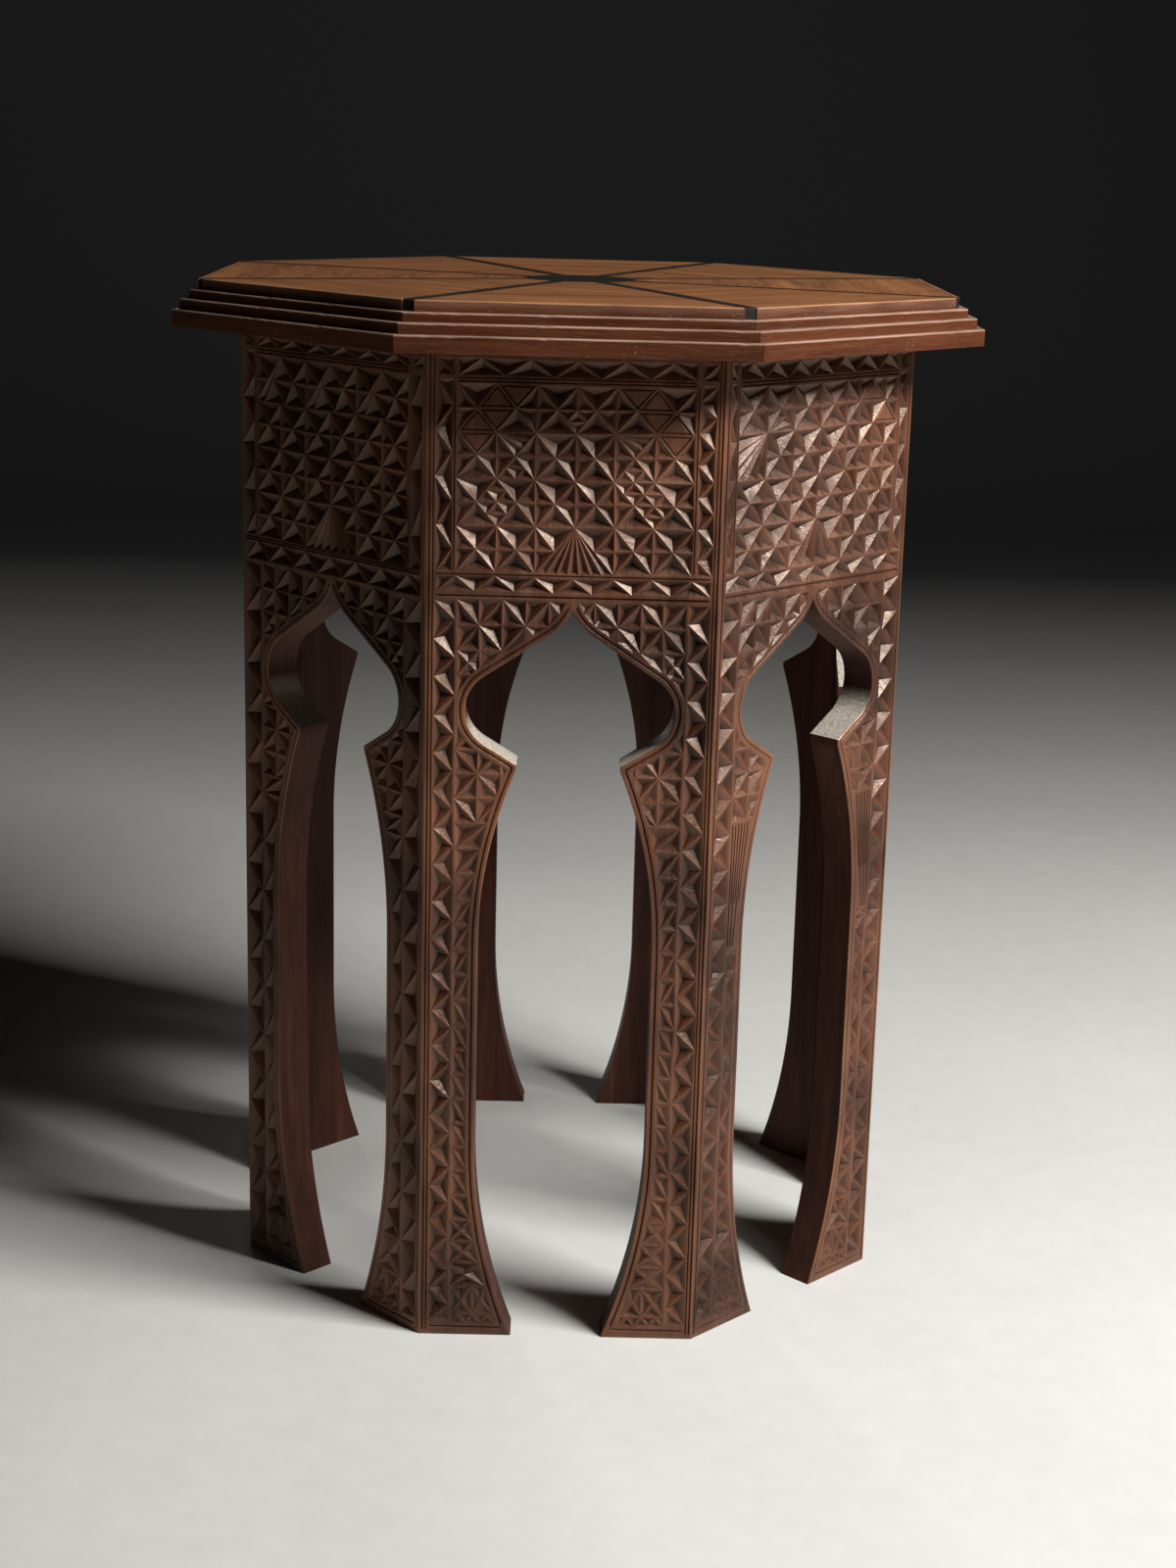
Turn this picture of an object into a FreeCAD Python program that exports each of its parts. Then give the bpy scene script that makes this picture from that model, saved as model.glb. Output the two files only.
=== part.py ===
import FreeCAD, Part
import math
import os
import Sketcher

# Octagonal carved side table: eight mitred side boards, each chip-carved and cut with an ogee arch that leaves
# curved legs, under a stepped octagonal top of wedges, black dividing strips and a centre disc.
# Millimetres. +Z is up, the origin is on the floor under the middle of the top, the front looks to -Y.

SIDE_NAMES = ("front", "front_right", "right", "back_right", "back", "back_left", "left", "front_left")
SIDES = len(SIDE_NAMES)
FACE_TURN = 360 / SIDES
MITRE_ANGLE = FACE_TURN / 2
FRONT_CORNER_ANGLE = MITRE_ANGLE - 90

# How many chips stand side by side in the carved field and bands of a board.
FIELD_CHIPS = 6
FIELD_ROWS = 8
UPPER_BAND_CHIPS = 5
LOWER_BAND_CHIPS = 7
COLUMN_CHIPS = 20

# Driving sizes. Heights are above the floor unless the name says otherwise.
SIZES = {
    # base boards
    "base_across_flats": 342.0,
    "base_height": 507.0,
    "board_thickness": 19.0,
    # ogee head of the arch: each rise is above the level before it, the span is from the board's middle line
    "tip_height": 306.0,
    "bulge_rise": 27.0,
    "ogee_turn_rise": 37.3,
    "apex_rise": 12.7,
    "ogee_turn_span": 11.0,
    "bulge_radius": 20.0,
    # wood left beside the arch, measured inwards from the outer corner edge of a board
    "bulge_wall": 19.6,
    "tip_width": 45.4,
    "tip_blunt": 2.5,
    "waist_width": 27.3,
    "waist_height": 212.0,
    "ankle_height": 106.0,
    "foot_width": 47.5,
    "cut_overrun": 5.0,
    # chip carving: margins from the corner edges, the arch point and the upper end of a board
    "carved_edge": 5.8,
    "field_margin": 14.2,
    "field_rise": 18.0,
    "field_drop": 16.4,
    "upper_band_gap": 3.7,
    "upper_band_drop": 4.5,
    "lower_band_gap": 2.1,
    "lower_band_height": 7.5,
    "column_foot": 7.5,
    "column_gap": 13.6,
    "star_margin": 26.4,
    "star_drop": 7.4,
    "star_cell_width": 11.1,
    "star_cell_height": 12.4,
    # chip carving: flat ridge between two chips, and the slope of their facets in degrees
    "chip_ridge": 0.5,
    "facet_angle": 36.5,
    # corner blocks inside the mitres and their screws into the top
    "block_face": 30.0,
    "block_depth": 14.0,
    "block_height": 45.0,
    "screw_diameter": 4.5,
    "screw_head_diameter": 9.0,
    "screw_bite": 13.0,
    "screw_point_length": 5.0,
    "screw_hole_clearance": 0.1,
    "pilot_extra_depth": 1.0,
    # top: stepped edge moulding round a core board
    "top_across_flats": 408.0,
    "moulding_width": 22.0,
    "fascia_height": 8.2,
    "lower_step_height": 5.2,
    "upper_step_height": 4.5,
    "lower_step_setback": 4.0,
    "upper_step_setback": 4.6,
    # top: show layer of wedges, strips and disc
    "layer_setback": 4.0,
    "layer_thickness": 5.4,
    "strip_width": 6.0,
    "strip_end_recess": 0.5,
    "disc_diameter": 58.0,
    "disc_clearance": 0.1,
}

# Fits worked out from the driving sizes.
FITS = {
    "mitre_tan": f"=tan({MITRE_ANGLE} deg)",
    "mitre_sin": f"=sin({MITRE_ANGLE} deg)",
    "mitre_cos": f"=cos({MITRE_ANGLE} deg)",
    # base board in plan
    "base_apothem": "=Sizes.base_across_flats / 2",
    "base_half_side": "=base_apothem * mitre_tan",
    "inner_apothem": "=base_apothem - Sizes.board_thickness",
    "inner_half_side": "=inner_apothem * mitre_tan",
    # arch opening: heights, then half widths from the middle line of a board
    "bulge_height": "=Sizes.tip_height + Sizes.bulge_rise",
    "ogee_turn_height": "=bulge_height + Sizes.ogee_turn_rise",
    "arch_apex_height": "=ogee_turn_height + Sizes.apex_rise",
    "bulge_centre_span": "=base_half_side - Sizes.bulge_wall - Sizes.bulge_radius",
    "tip_span": "=base_half_side - Sizes.tip_width",
    "tip_lower_height": "=Sizes.tip_height - Sizes.tip_blunt",
    "waist_span": "=base_half_side - Sizes.waist_width",
    "foot_span": "=base_half_side - Sizes.foot_width",
    # chip carving: half widths from the middle line of a board, and heights
    "carved_half": "=base_half_side - Sizes.carved_edge",
    "field_half": "=base_half_side - Sizes.field_margin",
    "field_low": "=arch_apex_height + Sizes.field_rise",
    "field_high": "=Sizes.base_height - Sizes.field_drop",
    "upper_band_low": "=field_high + Sizes.upper_band_gap",
    "upper_band_high": "=Sizes.base_height - Sizes.upper_band_drop",
    "lower_band_high": "=field_low - Sizes.lower_band_gap",
    "lower_band_low": "=lower_band_high - Sizes.lower_band_height",
    "column_head": "=field_low - Sizes.column_gap",
    "star_span": "=base_half_side - Sizes.star_margin",
    "star_height": "=arch_apex_height - Sizes.star_drop",
    "facet_slope": "=tan(Sizes.facet_angle * 1 deg)",
    # corner block in plan, with its corner on the +X axis
    "block_corner_reach": "=inner_apothem / mitre_cos",
    "block_wing_reach": "=block_corner_reach - Sizes.block_face * mitre_sin",
    "block_wing_half": "=Sizes.block_face * mitre_cos",
    "block_front_reach": "=block_wing_reach - Sizes.block_depth",
    "block_floor": "=Sizes.base_height - Sizes.block_height",
    # screws, at the middle of the blocks
    "screw_reach": "=(block_corner_reach + block_front_reach) / 2",
    "screw_head_reach": "=screw_reach + Sizes.screw_head_diameter / 2",
    "screw_shank_reach": "=screw_reach + Sizes.screw_diameter / 2",
    "screw_head_height": "=(Sizes.screw_head_diameter - Sizes.screw_diameter) / 2",
    "screw_length": "=Sizes.block_height + Sizes.screw_bite",
    "screw_shank_top": "=screw_length - Sizes.screw_point_length",
    "screw_hole_diameter": "=Sizes.screw_diameter + 2 * Sizes.screw_hole_clearance",
    "sink_diameter": "=Sizes.screw_head_diameter + 2 * Sizes.screw_hole_clearance",
    "pilot_depth": "=Sizes.screw_bite + Sizes.pilot_extra_depth",
    "pilot_x": "=screw_reach * mitre_cos",
    "pilot_y": "=screw_reach * mitre_sin",
    # top in plan and in height
    "fascia_apothem": "=Sizes.top_across_flats / 2",
    "fascia_half_side": "=fascia_apothem * mitre_tan",
    "core_apothem": "=fascia_apothem - Sizes.moulding_width",
    "core_half_side": "=core_apothem * mitre_tan",
    "core_height": "=Sizes.fascia_height + Sizes.lower_step_height + Sizes.upper_step_height",
    "lower_step_apothem": "=fascia_apothem - Sizes.lower_step_setback",
    "lower_step_half_side": "=lower_step_apothem * mitre_tan",
    "lower_step_top": "=Sizes.fascia_height + Sizes.lower_step_height",
    "upper_step_apothem": "=lower_step_apothem - Sizes.upper_step_setback",
    "upper_step_half_side": "=upper_step_apothem * mitre_tan",
    # show layer
    "layer_apothem": "=upper_step_apothem - Sizes.layer_setback",
    "layer_floor": "=Sizes.base_height + core_height",
    "strip_half": "=Sizes.strip_width / 2",
    "strip_end": "=layer_apothem / mitre_cos - strip_half * mitre_tan - Sizes.strip_end_recess",
    "wedge_half_side": "=layer_apothem * mitre_tan - strip_half / mitre_cos",
    "wedge_point": "=strip_half / mitre_sin",
    "disc_radius": "=Sizes.disc_diameter / 2",
    "disc_hole_diameter": "=Sizes.disc_diameter + 2 * Sizes.disc_clearance",
}


def write_sheet(name, cells):
    """A spreadsheet with one named cell for each entry."""
    sheet = doc.addObject("Spreadsheet::Sheet", name)
    for row, (alias, content) in enumerate(cells.items(), start=1):
        sheet.set(f"A{row}", alias)
        sheet.set(f"B{row}", str(content))
        sheet.setAlias(f"B{row}", alias)
    doc.recompute()
    return sheet


def address(name):
    """Where a named size or fit stands, as an expression."""
    sheet = "Sizes" if name in SIZES else "Fits"
    return f"{sheet}.{name}"


def number(name):
    """The value of a named size or fit; a leading minus sign turns it round, and "0" is zero."""
    if name == "0":
        return 0.0
    if name.startswith("-"):
        return -number(name[1:])
    sheet = sizes if name in SIZES else fits
    return float(sheet.get(name))


def point(across, up):
    """A sketch point from two names."""
    return FreeCAD.Vector(number(across), number(up), 0)


# Sketches

ORIGIN = (-1, 1)


def bind(sketch, constraint, name):
    """Add a constraint that takes its value from a named size or fit."""
    index = sketch.addConstraint(constraint)
    sketch.setExpression(f"Constraints[{index}]", address(name))


def tie(sketch, edge, end, direction, name):
    """Hold one end of an edge at a named distance from the sketch origin."""
    if name == "0":
        # a sketch counts its own axes as edges -1 (level) and -2 (upright)
        axis = -2 if direction == "X" else -1
        sketch.addConstraint(Sketcher.Constraint("PointOnObject", edge, end, axis))
        return
    kind = "Distance" + direction
    if name.startswith("-"):
        bind(sketch, Sketcher.Constraint(kind, edge, end, *ORIGIN, -number(name)), name[1:])
    else:
        bind(sketch, Sketcher.Constraint(kind, *ORIGIN, edge, end, number(name)), name)


def tie_point(sketch, edge, end, across, up):
    tie(sketch, edge, end, "X", across)
    tie(sketch, edge, end, "Y", up)


def new_body(label):
    body = doc.addObject("PartDesign::Body", label)
    body.Label = label
    return body


def origin_feature(body, role):
    return next(feature for feature in body.Origin.OriginFeatures if feature.Role == role)


def new_sketch(body, plane, name):
    sketch = body.newObject("Sketcher::SketchObject", name)
    sketch.AttachmentSupport = [(origin_feature(body, plane), "")]
    sketch.MapMode = "FlatFace"
    return sketch


def draw_polygon(sketch, corners):
    """A closed outline of straight edges through named corners."""
    points = [point(across, up) for across, up in corners]
    count = len(points)
    for edge in range(count):
        sketch.addGeometry(Part.LineSegment(points[edge], points[(edge + 1) % count]), False)
    for edge in range(count):
        sketch.addConstraint(Sketcher.Constraint("Coincident", edge, 2, (edge + 1) % count, 1))
    for edge, (across, up) in enumerate(corners):
        tie_point(sketch, edge, 1, across, up)


def draw_circle(sketch, across, up, diameter):
    centre = point(across, up)
    sketch.addGeometry(Part.Circle(centre, FreeCAD.Vector(0, 0, 1), number(diameter) / 2), False)
    tie_point(sketch, 0, 3, across, up)
    bind(sketch, Sketcher.Constraint("Diameter", 0, number(diameter)), diameter)


# Features

def pad(body, sketch, height):
    feature = body.newObject("PartDesign::Pad", "Pad")
    feature.Profile = sketch
    feature.setExpression("Length", address(height))
    return feature


def cut_through(body, sketch, upwards):
    """Cut an outline right through the body, towards the sketch's front if upwards."""
    whole = solid_volume(body)
    feature = body.newObject("PartDesign::Pocket", "Pocket")
    feature.Profile = sketch
    feature.Type = "ThroughAll"
    feature.Reversed = upwards
    check_cut(body, whole)
    return feature


def cut_blind(body, sketch, depth, upwards):
    """Cut an outline to a named depth, towards the sketch's front if upwards."""
    whole = solid_volume(body)
    feature = body.newObject("PartDesign::Pocket", "Pocket")
    feature.Profile = sketch
    feature.setExpression("Length", address(depth))
    feature.Reversed = upwards
    check_cut(body, whole)
    return feature


def solid_volume(body):
    doc.recompute()
    return body.Shape.Volume


def check_cut(body, whole):
    """Stop if a cut took nothing away."""
    if solid_volume(body) >= whole:
        raise RuntimeError(f"a cut in {body.Label} removed nothing")


def repeat_round(body, feature):
    """Copies of a feature at every corner of the octagon."""
    pattern = body.newObject("PartDesign::PolarPattern", "PolarPattern")
    pattern.Originals = [feature]
    pattern.Axis = (origin_feature(body, "Z_Axis"), [""])
    pattern.Angle = 360
    pattern.Occurrences = SIDES
    body.Tip = pattern
    doc.recompute()


def place(piece, turn, floor):
    """Turn a piece about the table's axis and lift it to a named height."""
    piece.Placement = FreeCAD.Placement(FreeCAD.Vector(), FreeCAD.Rotation(FreeCAD.Vector(0, 0, 1), turn))
    if floor != "0":
        piece.setExpression(".Placement.Base.z", address(floor))
    pieces.append(piece)


# Arch of a board

def touch_point(outside, centre, radius, side):
    """Where a line from an outside point touches a circle; side is 1 or -1."""
    away = outside - centre
    bearing = math.atan2(away.y, away.x) + side * math.acos(radius / away.Length)
    return centre + FreeCAD.Vector(math.cos(bearing), math.sin(bearing), 0) * radius


def arc_between(centre, start, end):
    """A circular arc, counter-clockwise from start to end."""
    first = start - centre
    last = end - centre
    circle = Part.Circle(centre, FreeCAD.Vector(0, 0, 1), first.Length)
    return Part.ArcOfCircle(circle, math.atan2(first.y, first.x), math.atan2(last.y, last.x))


def leg_arc_centre(start, end):
    """Centre, level with its start on the straight part of a leg, of the curve that runs on to the leg's end."""
    step = end - start
    radius = -(step.x ** 2 + step.y ** 2) / (2 * step.x)
    return start - FreeCAD.Vector(radius, 0, 0)


def draw_half_arch(sketch):
    """Right half of the arch opening, from the ogee point down to the floor, closed on the middle line."""
    apex = point("0", "arch_apex_height")
    turn = point("ogee_turn_span", "ogee_turn_height")
    bulge = point("bulge_centre_span", "bulge_height")
    radius = number("bulge_radius")
    shoulder = touch_point(turn, bulge, radius, -1)
    tip = point("tip_span", "tip_height")
    under = touch_point(tip, bulge, radius, 1)
    tip_lower = point("tip_span", "tip_lower_height")
    waist = point("waist_span", "waist_height")
    ankle = point("waist_span", "ankle_height")
    foot = point("foot_span", "0")
    foot_lower = point("foot_span", "-cut_overrun")
    middle_lower = point("0", "-cut_overrun")
    slope = (shoulder - turn).normalize()
    square = FreeCAD.Vector(-slope.y, slope.x, 0)
    rise = apex - turn
    ogee_centre = turn + square * (rise.dot(rise) / (2 * rise.dot(square)))

    edges = (
        arc_between(ogee_centre, apex, turn),
        Part.LineSegment(turn, shoulder),
        arc_between(bulge, under, shoulder),
        Part.LineSegment(under, tip),
        Part.LineSegment(tip, tip_lower),
        arc_between(leg_arc_centre(waist, tip_lower), waist, tip_lower),
        Part.LineSegment(waist, ankle),
        arc_between(leg_arc_centre(ankle, foot), foot, ankle),
        Part.LineSegment(foot, foot_lower),
        Part.LineSegment(foot_lower, middle_lower),
        Part.LineSegment(middle_lower, apex),
    )
    for edge in edges:
        sketch.addGeometry(edge, False)
    (ogee, slant, bulge_arc, underside, blunt,
     upper_leg, shin, lower_leg, foot_side, floor_side, middle) = range(len(edges))

    joins = (
        ("Tangent", ogee, 2, slant, 1),
        ("Tangent", slant, 2, bulge_arc, 2),
        ("Tangent", bulge_arc, 1, underside, 1),
        ("Coincident", underside, 2, blunt, 1),
        ("Coincident", blunt, 2, upper_leg, 2),
        ("Coincident", upper_leg, 1, shin, 1),
        ("Coincident", shin, 2, lower_leg, 2),
        ("Coincident", lower_leg, 1, foot_side, 1),
        ("Coincident", foot_side, 2, floor_side, 1),
        ("Coincident", floor_side, 2, middle, 1),
        ("Coincident", middle, 2, ogee, 1),
    )
    for join in joins:
        sketch.addConstraint(Sketcher.Constraint(*join))
    tie_point(sketch, ogee, 1, "0", "arch_apex_height")
    tie_point(sketch, ogee, 2, "ogee_turn_span", "ogee_turn_height")
    tie_point(sketch, bulge_arc, 3, "bulge_centre_span", "bulge_height")
    bind(sketch, Sketcher.Constraint("Radius", bulge_arc, radius), "bulge_radius")
    tie_point(sketch, blunt, 1, "tip_span", "tip_height")
    tie_point(sketch, blunt, 2, "tip_span", "tip_lower_height")
    tie_point(sketch, upper_leg, 1, "waist_span", "waist_height")
    tie(sketch, upper_leg, 3, "Y", "waist_height")
    tie_point(sketch, shin, 2, "waist_span", "ankle_height")
    tie(sketch, lower_leg, 3, "Y", "ankle_height")
    tie_point(sketch, foot_side, 1, "foot_span", "0")
    tie_point(sketch, foot_side, 2, "foot_span", "-cut_overrun")
    tie_point(sketch, floor_side, 2, "0", "-cut_overrun")


# Chip carving

def on_board(across, up):
    """A place on the outer face of the front board."""
    return FreeCAD.Vector(across, -number("base_apothem"), up)


def chip(*corners):
    """A three-sided pit as a solid, half a ridge inside its ruled corners and deepest at its middle."""
    ruled = [on_board(*corner) for corner in corners]
    left, right, far = ruled
    opposite = (right.distanceToPoint(far), far.distanceToPoint(left), left.distanceToPoint(right))
    around = sum(opposite)
    middle = sum((corner * (length / around) for corner, length in zip(ruled, opposite)), FreeCAD.Vector())
    reach = (right - left).cross(far - left).Length / around
    drawn_in = reach - number("chip_ridge") / 2
    rim = [middle + (corner - middle) * (drawn_in / reach) for corner in ruled]
    deep = middle + FreeCAD.Vector(0, drawn_in * number("facet_slope"), 0)
    facets = [(rim[index - 1], rim[index], deep) for index in range(len(rim))]
    faces = [Part.Face(Part.makePolygon([*facet, facet[0]])) for facet in (rim, *facets)]
    return Part.Solid(Part.Shell(faces))


def zigzag(start, end, near, far, count, upright):
    """A band of chips that point alternately to both of its sides, whole ones only."""
    def corner(along, across):
        return (across, along) if upright else (along, across)

    pitch = (end - start) / count
    chips = []
    for index in range(count):
        first = start + index * pitch
        middle = first + pitch / 2
        chips.append(chip(corner(first, near), corner(first + pitch, near), corner(middle, far)))
        if index:
            chips.append(chip(corner(middle - pitch, far), corner(middle, far), corner(first, near)))
    return chips


def field_chips():
    """Rows of triangles, each row turned over against the one below it."""
    half = number("field_half")
    low = number("field_low")
    row = (number("field_high") - low) / FIELD_ROWS
    chips = []
    for index in range(FIELD_ROWS):
        lines = low + index * row, low + (index + 1) * row
        near, far = lines if index % 2 == 0 else reversed(lines)
        chips += zigzag(-half, half, near, far, FIELD_CHIPS, upright=False)
    return chips


def band_chips():
    """The level bands over and under the field."""
    upper = number("field_half")
    lower = number("carved_half")
    upper_lines = number("upper_band_low"), number("upper_band_high")
    lower_lines = number("lower_band_low"), number("lower_band_high")
    chips = zigzag(-upper, upper, *upper_lines, UPPER_BAND_CHIPS, upright=False)
    return chips + zigzag(-lower, lower, *lower_lines, LOWER_BAND_CHIPS, upright=False)


def column_chips(side):
    """The upright band beside a corner edge, from the foot to the bands under the field."""
    outer = side * number("carved_half")
    inner = side * number("field_half")
    return zigzag(number("column_foot"), number("column_head"), outer, inner, COLUMN_CHIPS, upright=True)


def star_chips(side):
    """The eight-rayed star beside an arch head, of right-angled chips."""
    across = side * number("star_span")
    up = number("star_height")
    chips = []
    for width in (-number("star_cell_width"), number("star_cell_width")):
        for height in (-number("star_cell_height"), number("star_cell_height")):
            outer = (across + width, up + height)
            chips.append(chip((across, up), (across + width, up), outer))
            chips.append(chip((across, up), (across, up + height), outer))
    return chips


def board_chips():
    """All chips of one board, to be cut from it together."""
    chips = field_chips() + band_chips()
    for side in (-1, 1):
        chips += column_chips(side) + star_chips(side)
    cutter = doc.addObject("Part::Feature", "BoardChips")
    cutter.Shape = Part.makeCompound(chips)
    return cutter


# Boards

def plain_board(label):
    """One mitred board, face to the outside, with its arch cut through."""
    body = new_body(label)
    plan = new_sketch(body, "XY_Plane", "BoardPlan")
    draw_polygon(plan, (
        ("-base_half_side", "-base_apothem"),
        ("base_half_side", "-base_apothem"),
        ("inner_half_side", "-inner_apothem"),
        ("-inner_half_side", "-inner_apothem"),
    ))
    pad(body, plan, "base_height")
    arch = new_sketch(body, "XZ_Plane", "HalfArch")
    draw_half_arch(arch)
    half_cut = cut_through(body, arch, upwards=True)
    mirrored = body.newObject("PartDesign::Mirrored", "Mirrored")
    mirrored.Originals = [half_cut]
    mirrored.MirrorPlane = (arch, ["V_Axis"])
    body.Tip = mirrored
    return body


def side_board(label):
    """The front board, with its arch and its main carving."""
    board = plain_board("PlainBoard")
    whole = solid_volume(board)
    carved = doc.addObject("Part::Cut", label)
    carved.Label = label
    carved.Base = board
    carved.Tool = board_chips()
    carved.Refine = False
    check_cut(carved, whole)
    pieces.append(carved)
    return carved


def board_copy(label, board, turn):
    """Another board like the front one, turned to its own side."""
    body = new_body(label)
    copy = body.newObject("PartDesign::FeatureBase", "BoardCopy")
    copy.BaseFeature = board
    body.Tip = copy
    place(body, turn, "0")


# Corner blocks and screws

def corner_block(label, turn):
    """A glue block in the angle between two boards, flush with their upper ends, bored for a screw."""
    body = new_body(label)
    plan = new_sketch(body, "XY_Plane", "BlockPlan")
    draw_polygon(plan, (
        ("block_corner_reach", "0"),
        ("block_wing_reach", "block_wing_half"),
        ("block_front_reach", "block_wing_half"),
        ("block_front_reach", "-block_wing_half"),
        ("block_wing_reach", "-block_wing_half"),
    ))
    pad(body, plan, "block_height")
    bore = new_sketch(body, "XY_Plane", "ScrewPlace")
    draw_circle(bore, "screw_reach", "0", "screw_hole_diameter")
    whole = solid_volume(body)
    hole = body.newObject("PartDesign::Hole", "Hole")
    hole.Profile = bore
    hole.DepthType = "ThroughAll"
    hole.Reversed = True
    hole.setExpression("Diameter", address("screw_hole_diameter"))
    hole.HoleCutType = "Countersink"
    hole.HoleCutCustomValues = True
    hole.HoleCutCountersinkAngle = 90
    hole.setExpression("HoleCutDiameter", address("sink_diameter"))
    check_cut(body, whole)
    place(body, turn, "block_floor")


def top_screws(label):
    """Eight countersunk screws, up through the corner blocks into the core board."""
    body = new_body(label)
    profile = new_sketch(body, "XZ_Plane", "ScrewProfile")
    draw_polygon(profile, (
        ("screw_reach", "0"),
        ("screw_head_reach", "0"),
        ("screw_shank_reach", "screw_head_height"),
        ("screw_shank_reach", "screw_shank_top"),
        ("screw_reach", "screw_length"),
    ))
    axis = sketch_axis(profile, "screw_reach", "screw_length")
    screw = body.newObject("PartDesign::Revolution", "Revolution")
    screw.Profile = profile
    screw.ReferenceAxis = (profile, [axis])
    screw.Angle = 360
    doc.recompute()
    repeat_round(body, screw)
    place(body, FRONT_CORNER_ANGLE, "block_floor")


def sketch_axis(sketch, across, height):
    """An upright construction line to turn a profile about."""
    line = sketch.addGeometry(Part.LineSegment(point(across, "0"), point(across, height)), True)
    tie_point(sketch, line, 1, across, "0")
    tie_point(sketch, line, 2, across, height)
    return "Axis0"


# Top

def octagon_corners(apothem, half_side):
    """The eight corners of an octagon with flats to the front, from two names."""
    return (
        (half_side, "-" + apothem),
        (apothem, "-" + half_side),
        (apothem, half_side),
        (half_side, apothem),
        ("-" + half_side, apothem),
        ("-" + apothem, half_side),
        ("-" + apothem, "-" + half_side),
        ("-" + half_side, "-" + apothem),
    )


def core_board(label):
    """The octagonal board under the show layer, with pilot holes for the screws."""
    body = new_body(label)
    plan = new_sketch(body, "XY_Plane", "CorePlan")
    draw_polygon(plan, octagon_corners("core_apothem", "core_half_side"))
    pad(body, plan, "core_height")
    pilot = new_sketch(body, "XY_Plane", "PilotPlace")
    draw_circle(pilot, "pilot_x", "pilot_y", "screw_hole_diameter")
    repeat_round(body, cut_blind(body, pilot, "pilot_depth", upwards=True))
    place(body, 0, "base_height")


def edge_moulding(label, turn):
    """One mitred length of the stepped edge: a fascia and two set-back steps."""
    body = new_body(label)
    levels = (
        ("fascia_apothem", "fascia_half_side", "fascia_height"),
        ("lower_step_apothem", "lower_step_half_side", "lower_step_top"),
        ("upper_step_apothem", "upper_step_half_side", "core_height"),
    )
    for apothem, half_side, height in levels:
        plan = new_sketch(body, "XY_Plane", "MouldingPlan")
        draw_polygon(plan, (
            ("-" + half_side, "-" + apothem),
            (half_side, "-" + apothem),
            ("core_half_side", "-core_apothem"),
            ("-core_half_side", "-core_apothem"),
        ))
        pad(body, plan, height)
        doc.recompute()
    place(body, turn, "base_height")


def top_wedge(label, turn):
    """One three-cornered field of the show layer, its point cut round for the disc."""
    body = new_body(label)
    plan = new_sketch(body, "XY_Plane", "WedgePlan")
    draw_polygon(plan, (
        ("-wedge_half_side", "-layer_apothem"),
        ("wedge_half_side", "-layer_apothem"),
        ("0", "-wedge_point"),
    ))
    pad(body, plan, "layer_thickness")
    cut_for_disc(body)
    place(body, turn, "layer_floor")


def black_strip(label, turn):
    """One black dividing strip from the disc to a corner, cut square at the corner."""
    body = new_body(label)
    plan = new_sketch(body, "XY_Plane", "StripPlan")
    draw_polygon(plan, (
        ("0", "-strip_half"),
        ("strip_end", "-strip_half"),
        ("strip_end", "strip_half"),
        ("0", "strip_half"),
    ))
    pad(body, plan, "layer_thickness")
    cut_for_disc(body)
    place(body, turn, "layer_floor")


def cut_for_disc(body):
    seat = new_sketch(body, "XY_Plane", "DiscSeat")
    draw_circle(seat, "0", "0", "disc_hole_diameter")
    cut_through(body, seat, upwards=True)


def centre_disc(label):
    disc = doc.addObject("Part::Cylinder", label)
    disc.Label = label
    disc.setExpression("Radius", address("disc_radius"))
    disc.setExpression("Height", address("layer_thickness"))
    place(disc, 0, "layer_floor")


# Assembly

doc = FreeCAD.newDocument("CarvedTable")
pieces = []
sizes = write_sheet("Sizes", SIZES)
fits = write_sheet("Fits", FITS)

front_board = side_board(f"side_board_{SIDE_NAMES[0]}")
for index, side in enumerate(SIDE_NAMES):
    face_turn = index * FACE_TURN
    if index > 0:
        board_copy(f"side_board_{side}", front_board, face_turn)
    edge_moulding(f"edge_moulding_{side}", face_turn)
    top_wedge(f"top_wedge_{side}", face_turn)
for index in range(SIDES):
    corner_turn = FRONT_CORNER_ANGLE + index * FACE_TURN
    corner_block(f"corner_block_{index + 1}", corner_turn)
    black_strip(f"black_strip_{index + 1}", corner_turn)
top_screws("top_screws")
core_board("core_board")
centre_disc("centre_disc")
doc.recompute()

for member in doc.Objects:
    if "Invalid" in member.State or "Error" in member.State:
        raise RuntimeError(f"{member.Label} did not recompute: {member.State}")
for piece in pieces:
    if piece.Shape.isNull() or not piece.Shape.isValid():
        raise RuntimeError(f"{piece.Label} has no valid shape")

os.makedirs("parts", exist_ok=True)
for piece in pieces:
    piece.Shape.exportStep(f"parts/{piece.Label}.step")
    print(piece.Label, len(piece.Shape.Solids), round(piece.Shape.Volume))
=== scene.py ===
"""Carved octagonal side table: chip-carved boards with ogee arches under a stepped, inlaid top."""

import math
import random
from collections import namedtuple

import bpy
import numpy as np
from mathutils import Matrix, Vector
from mathutils.geometry import delaunay_2d_cdt


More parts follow.
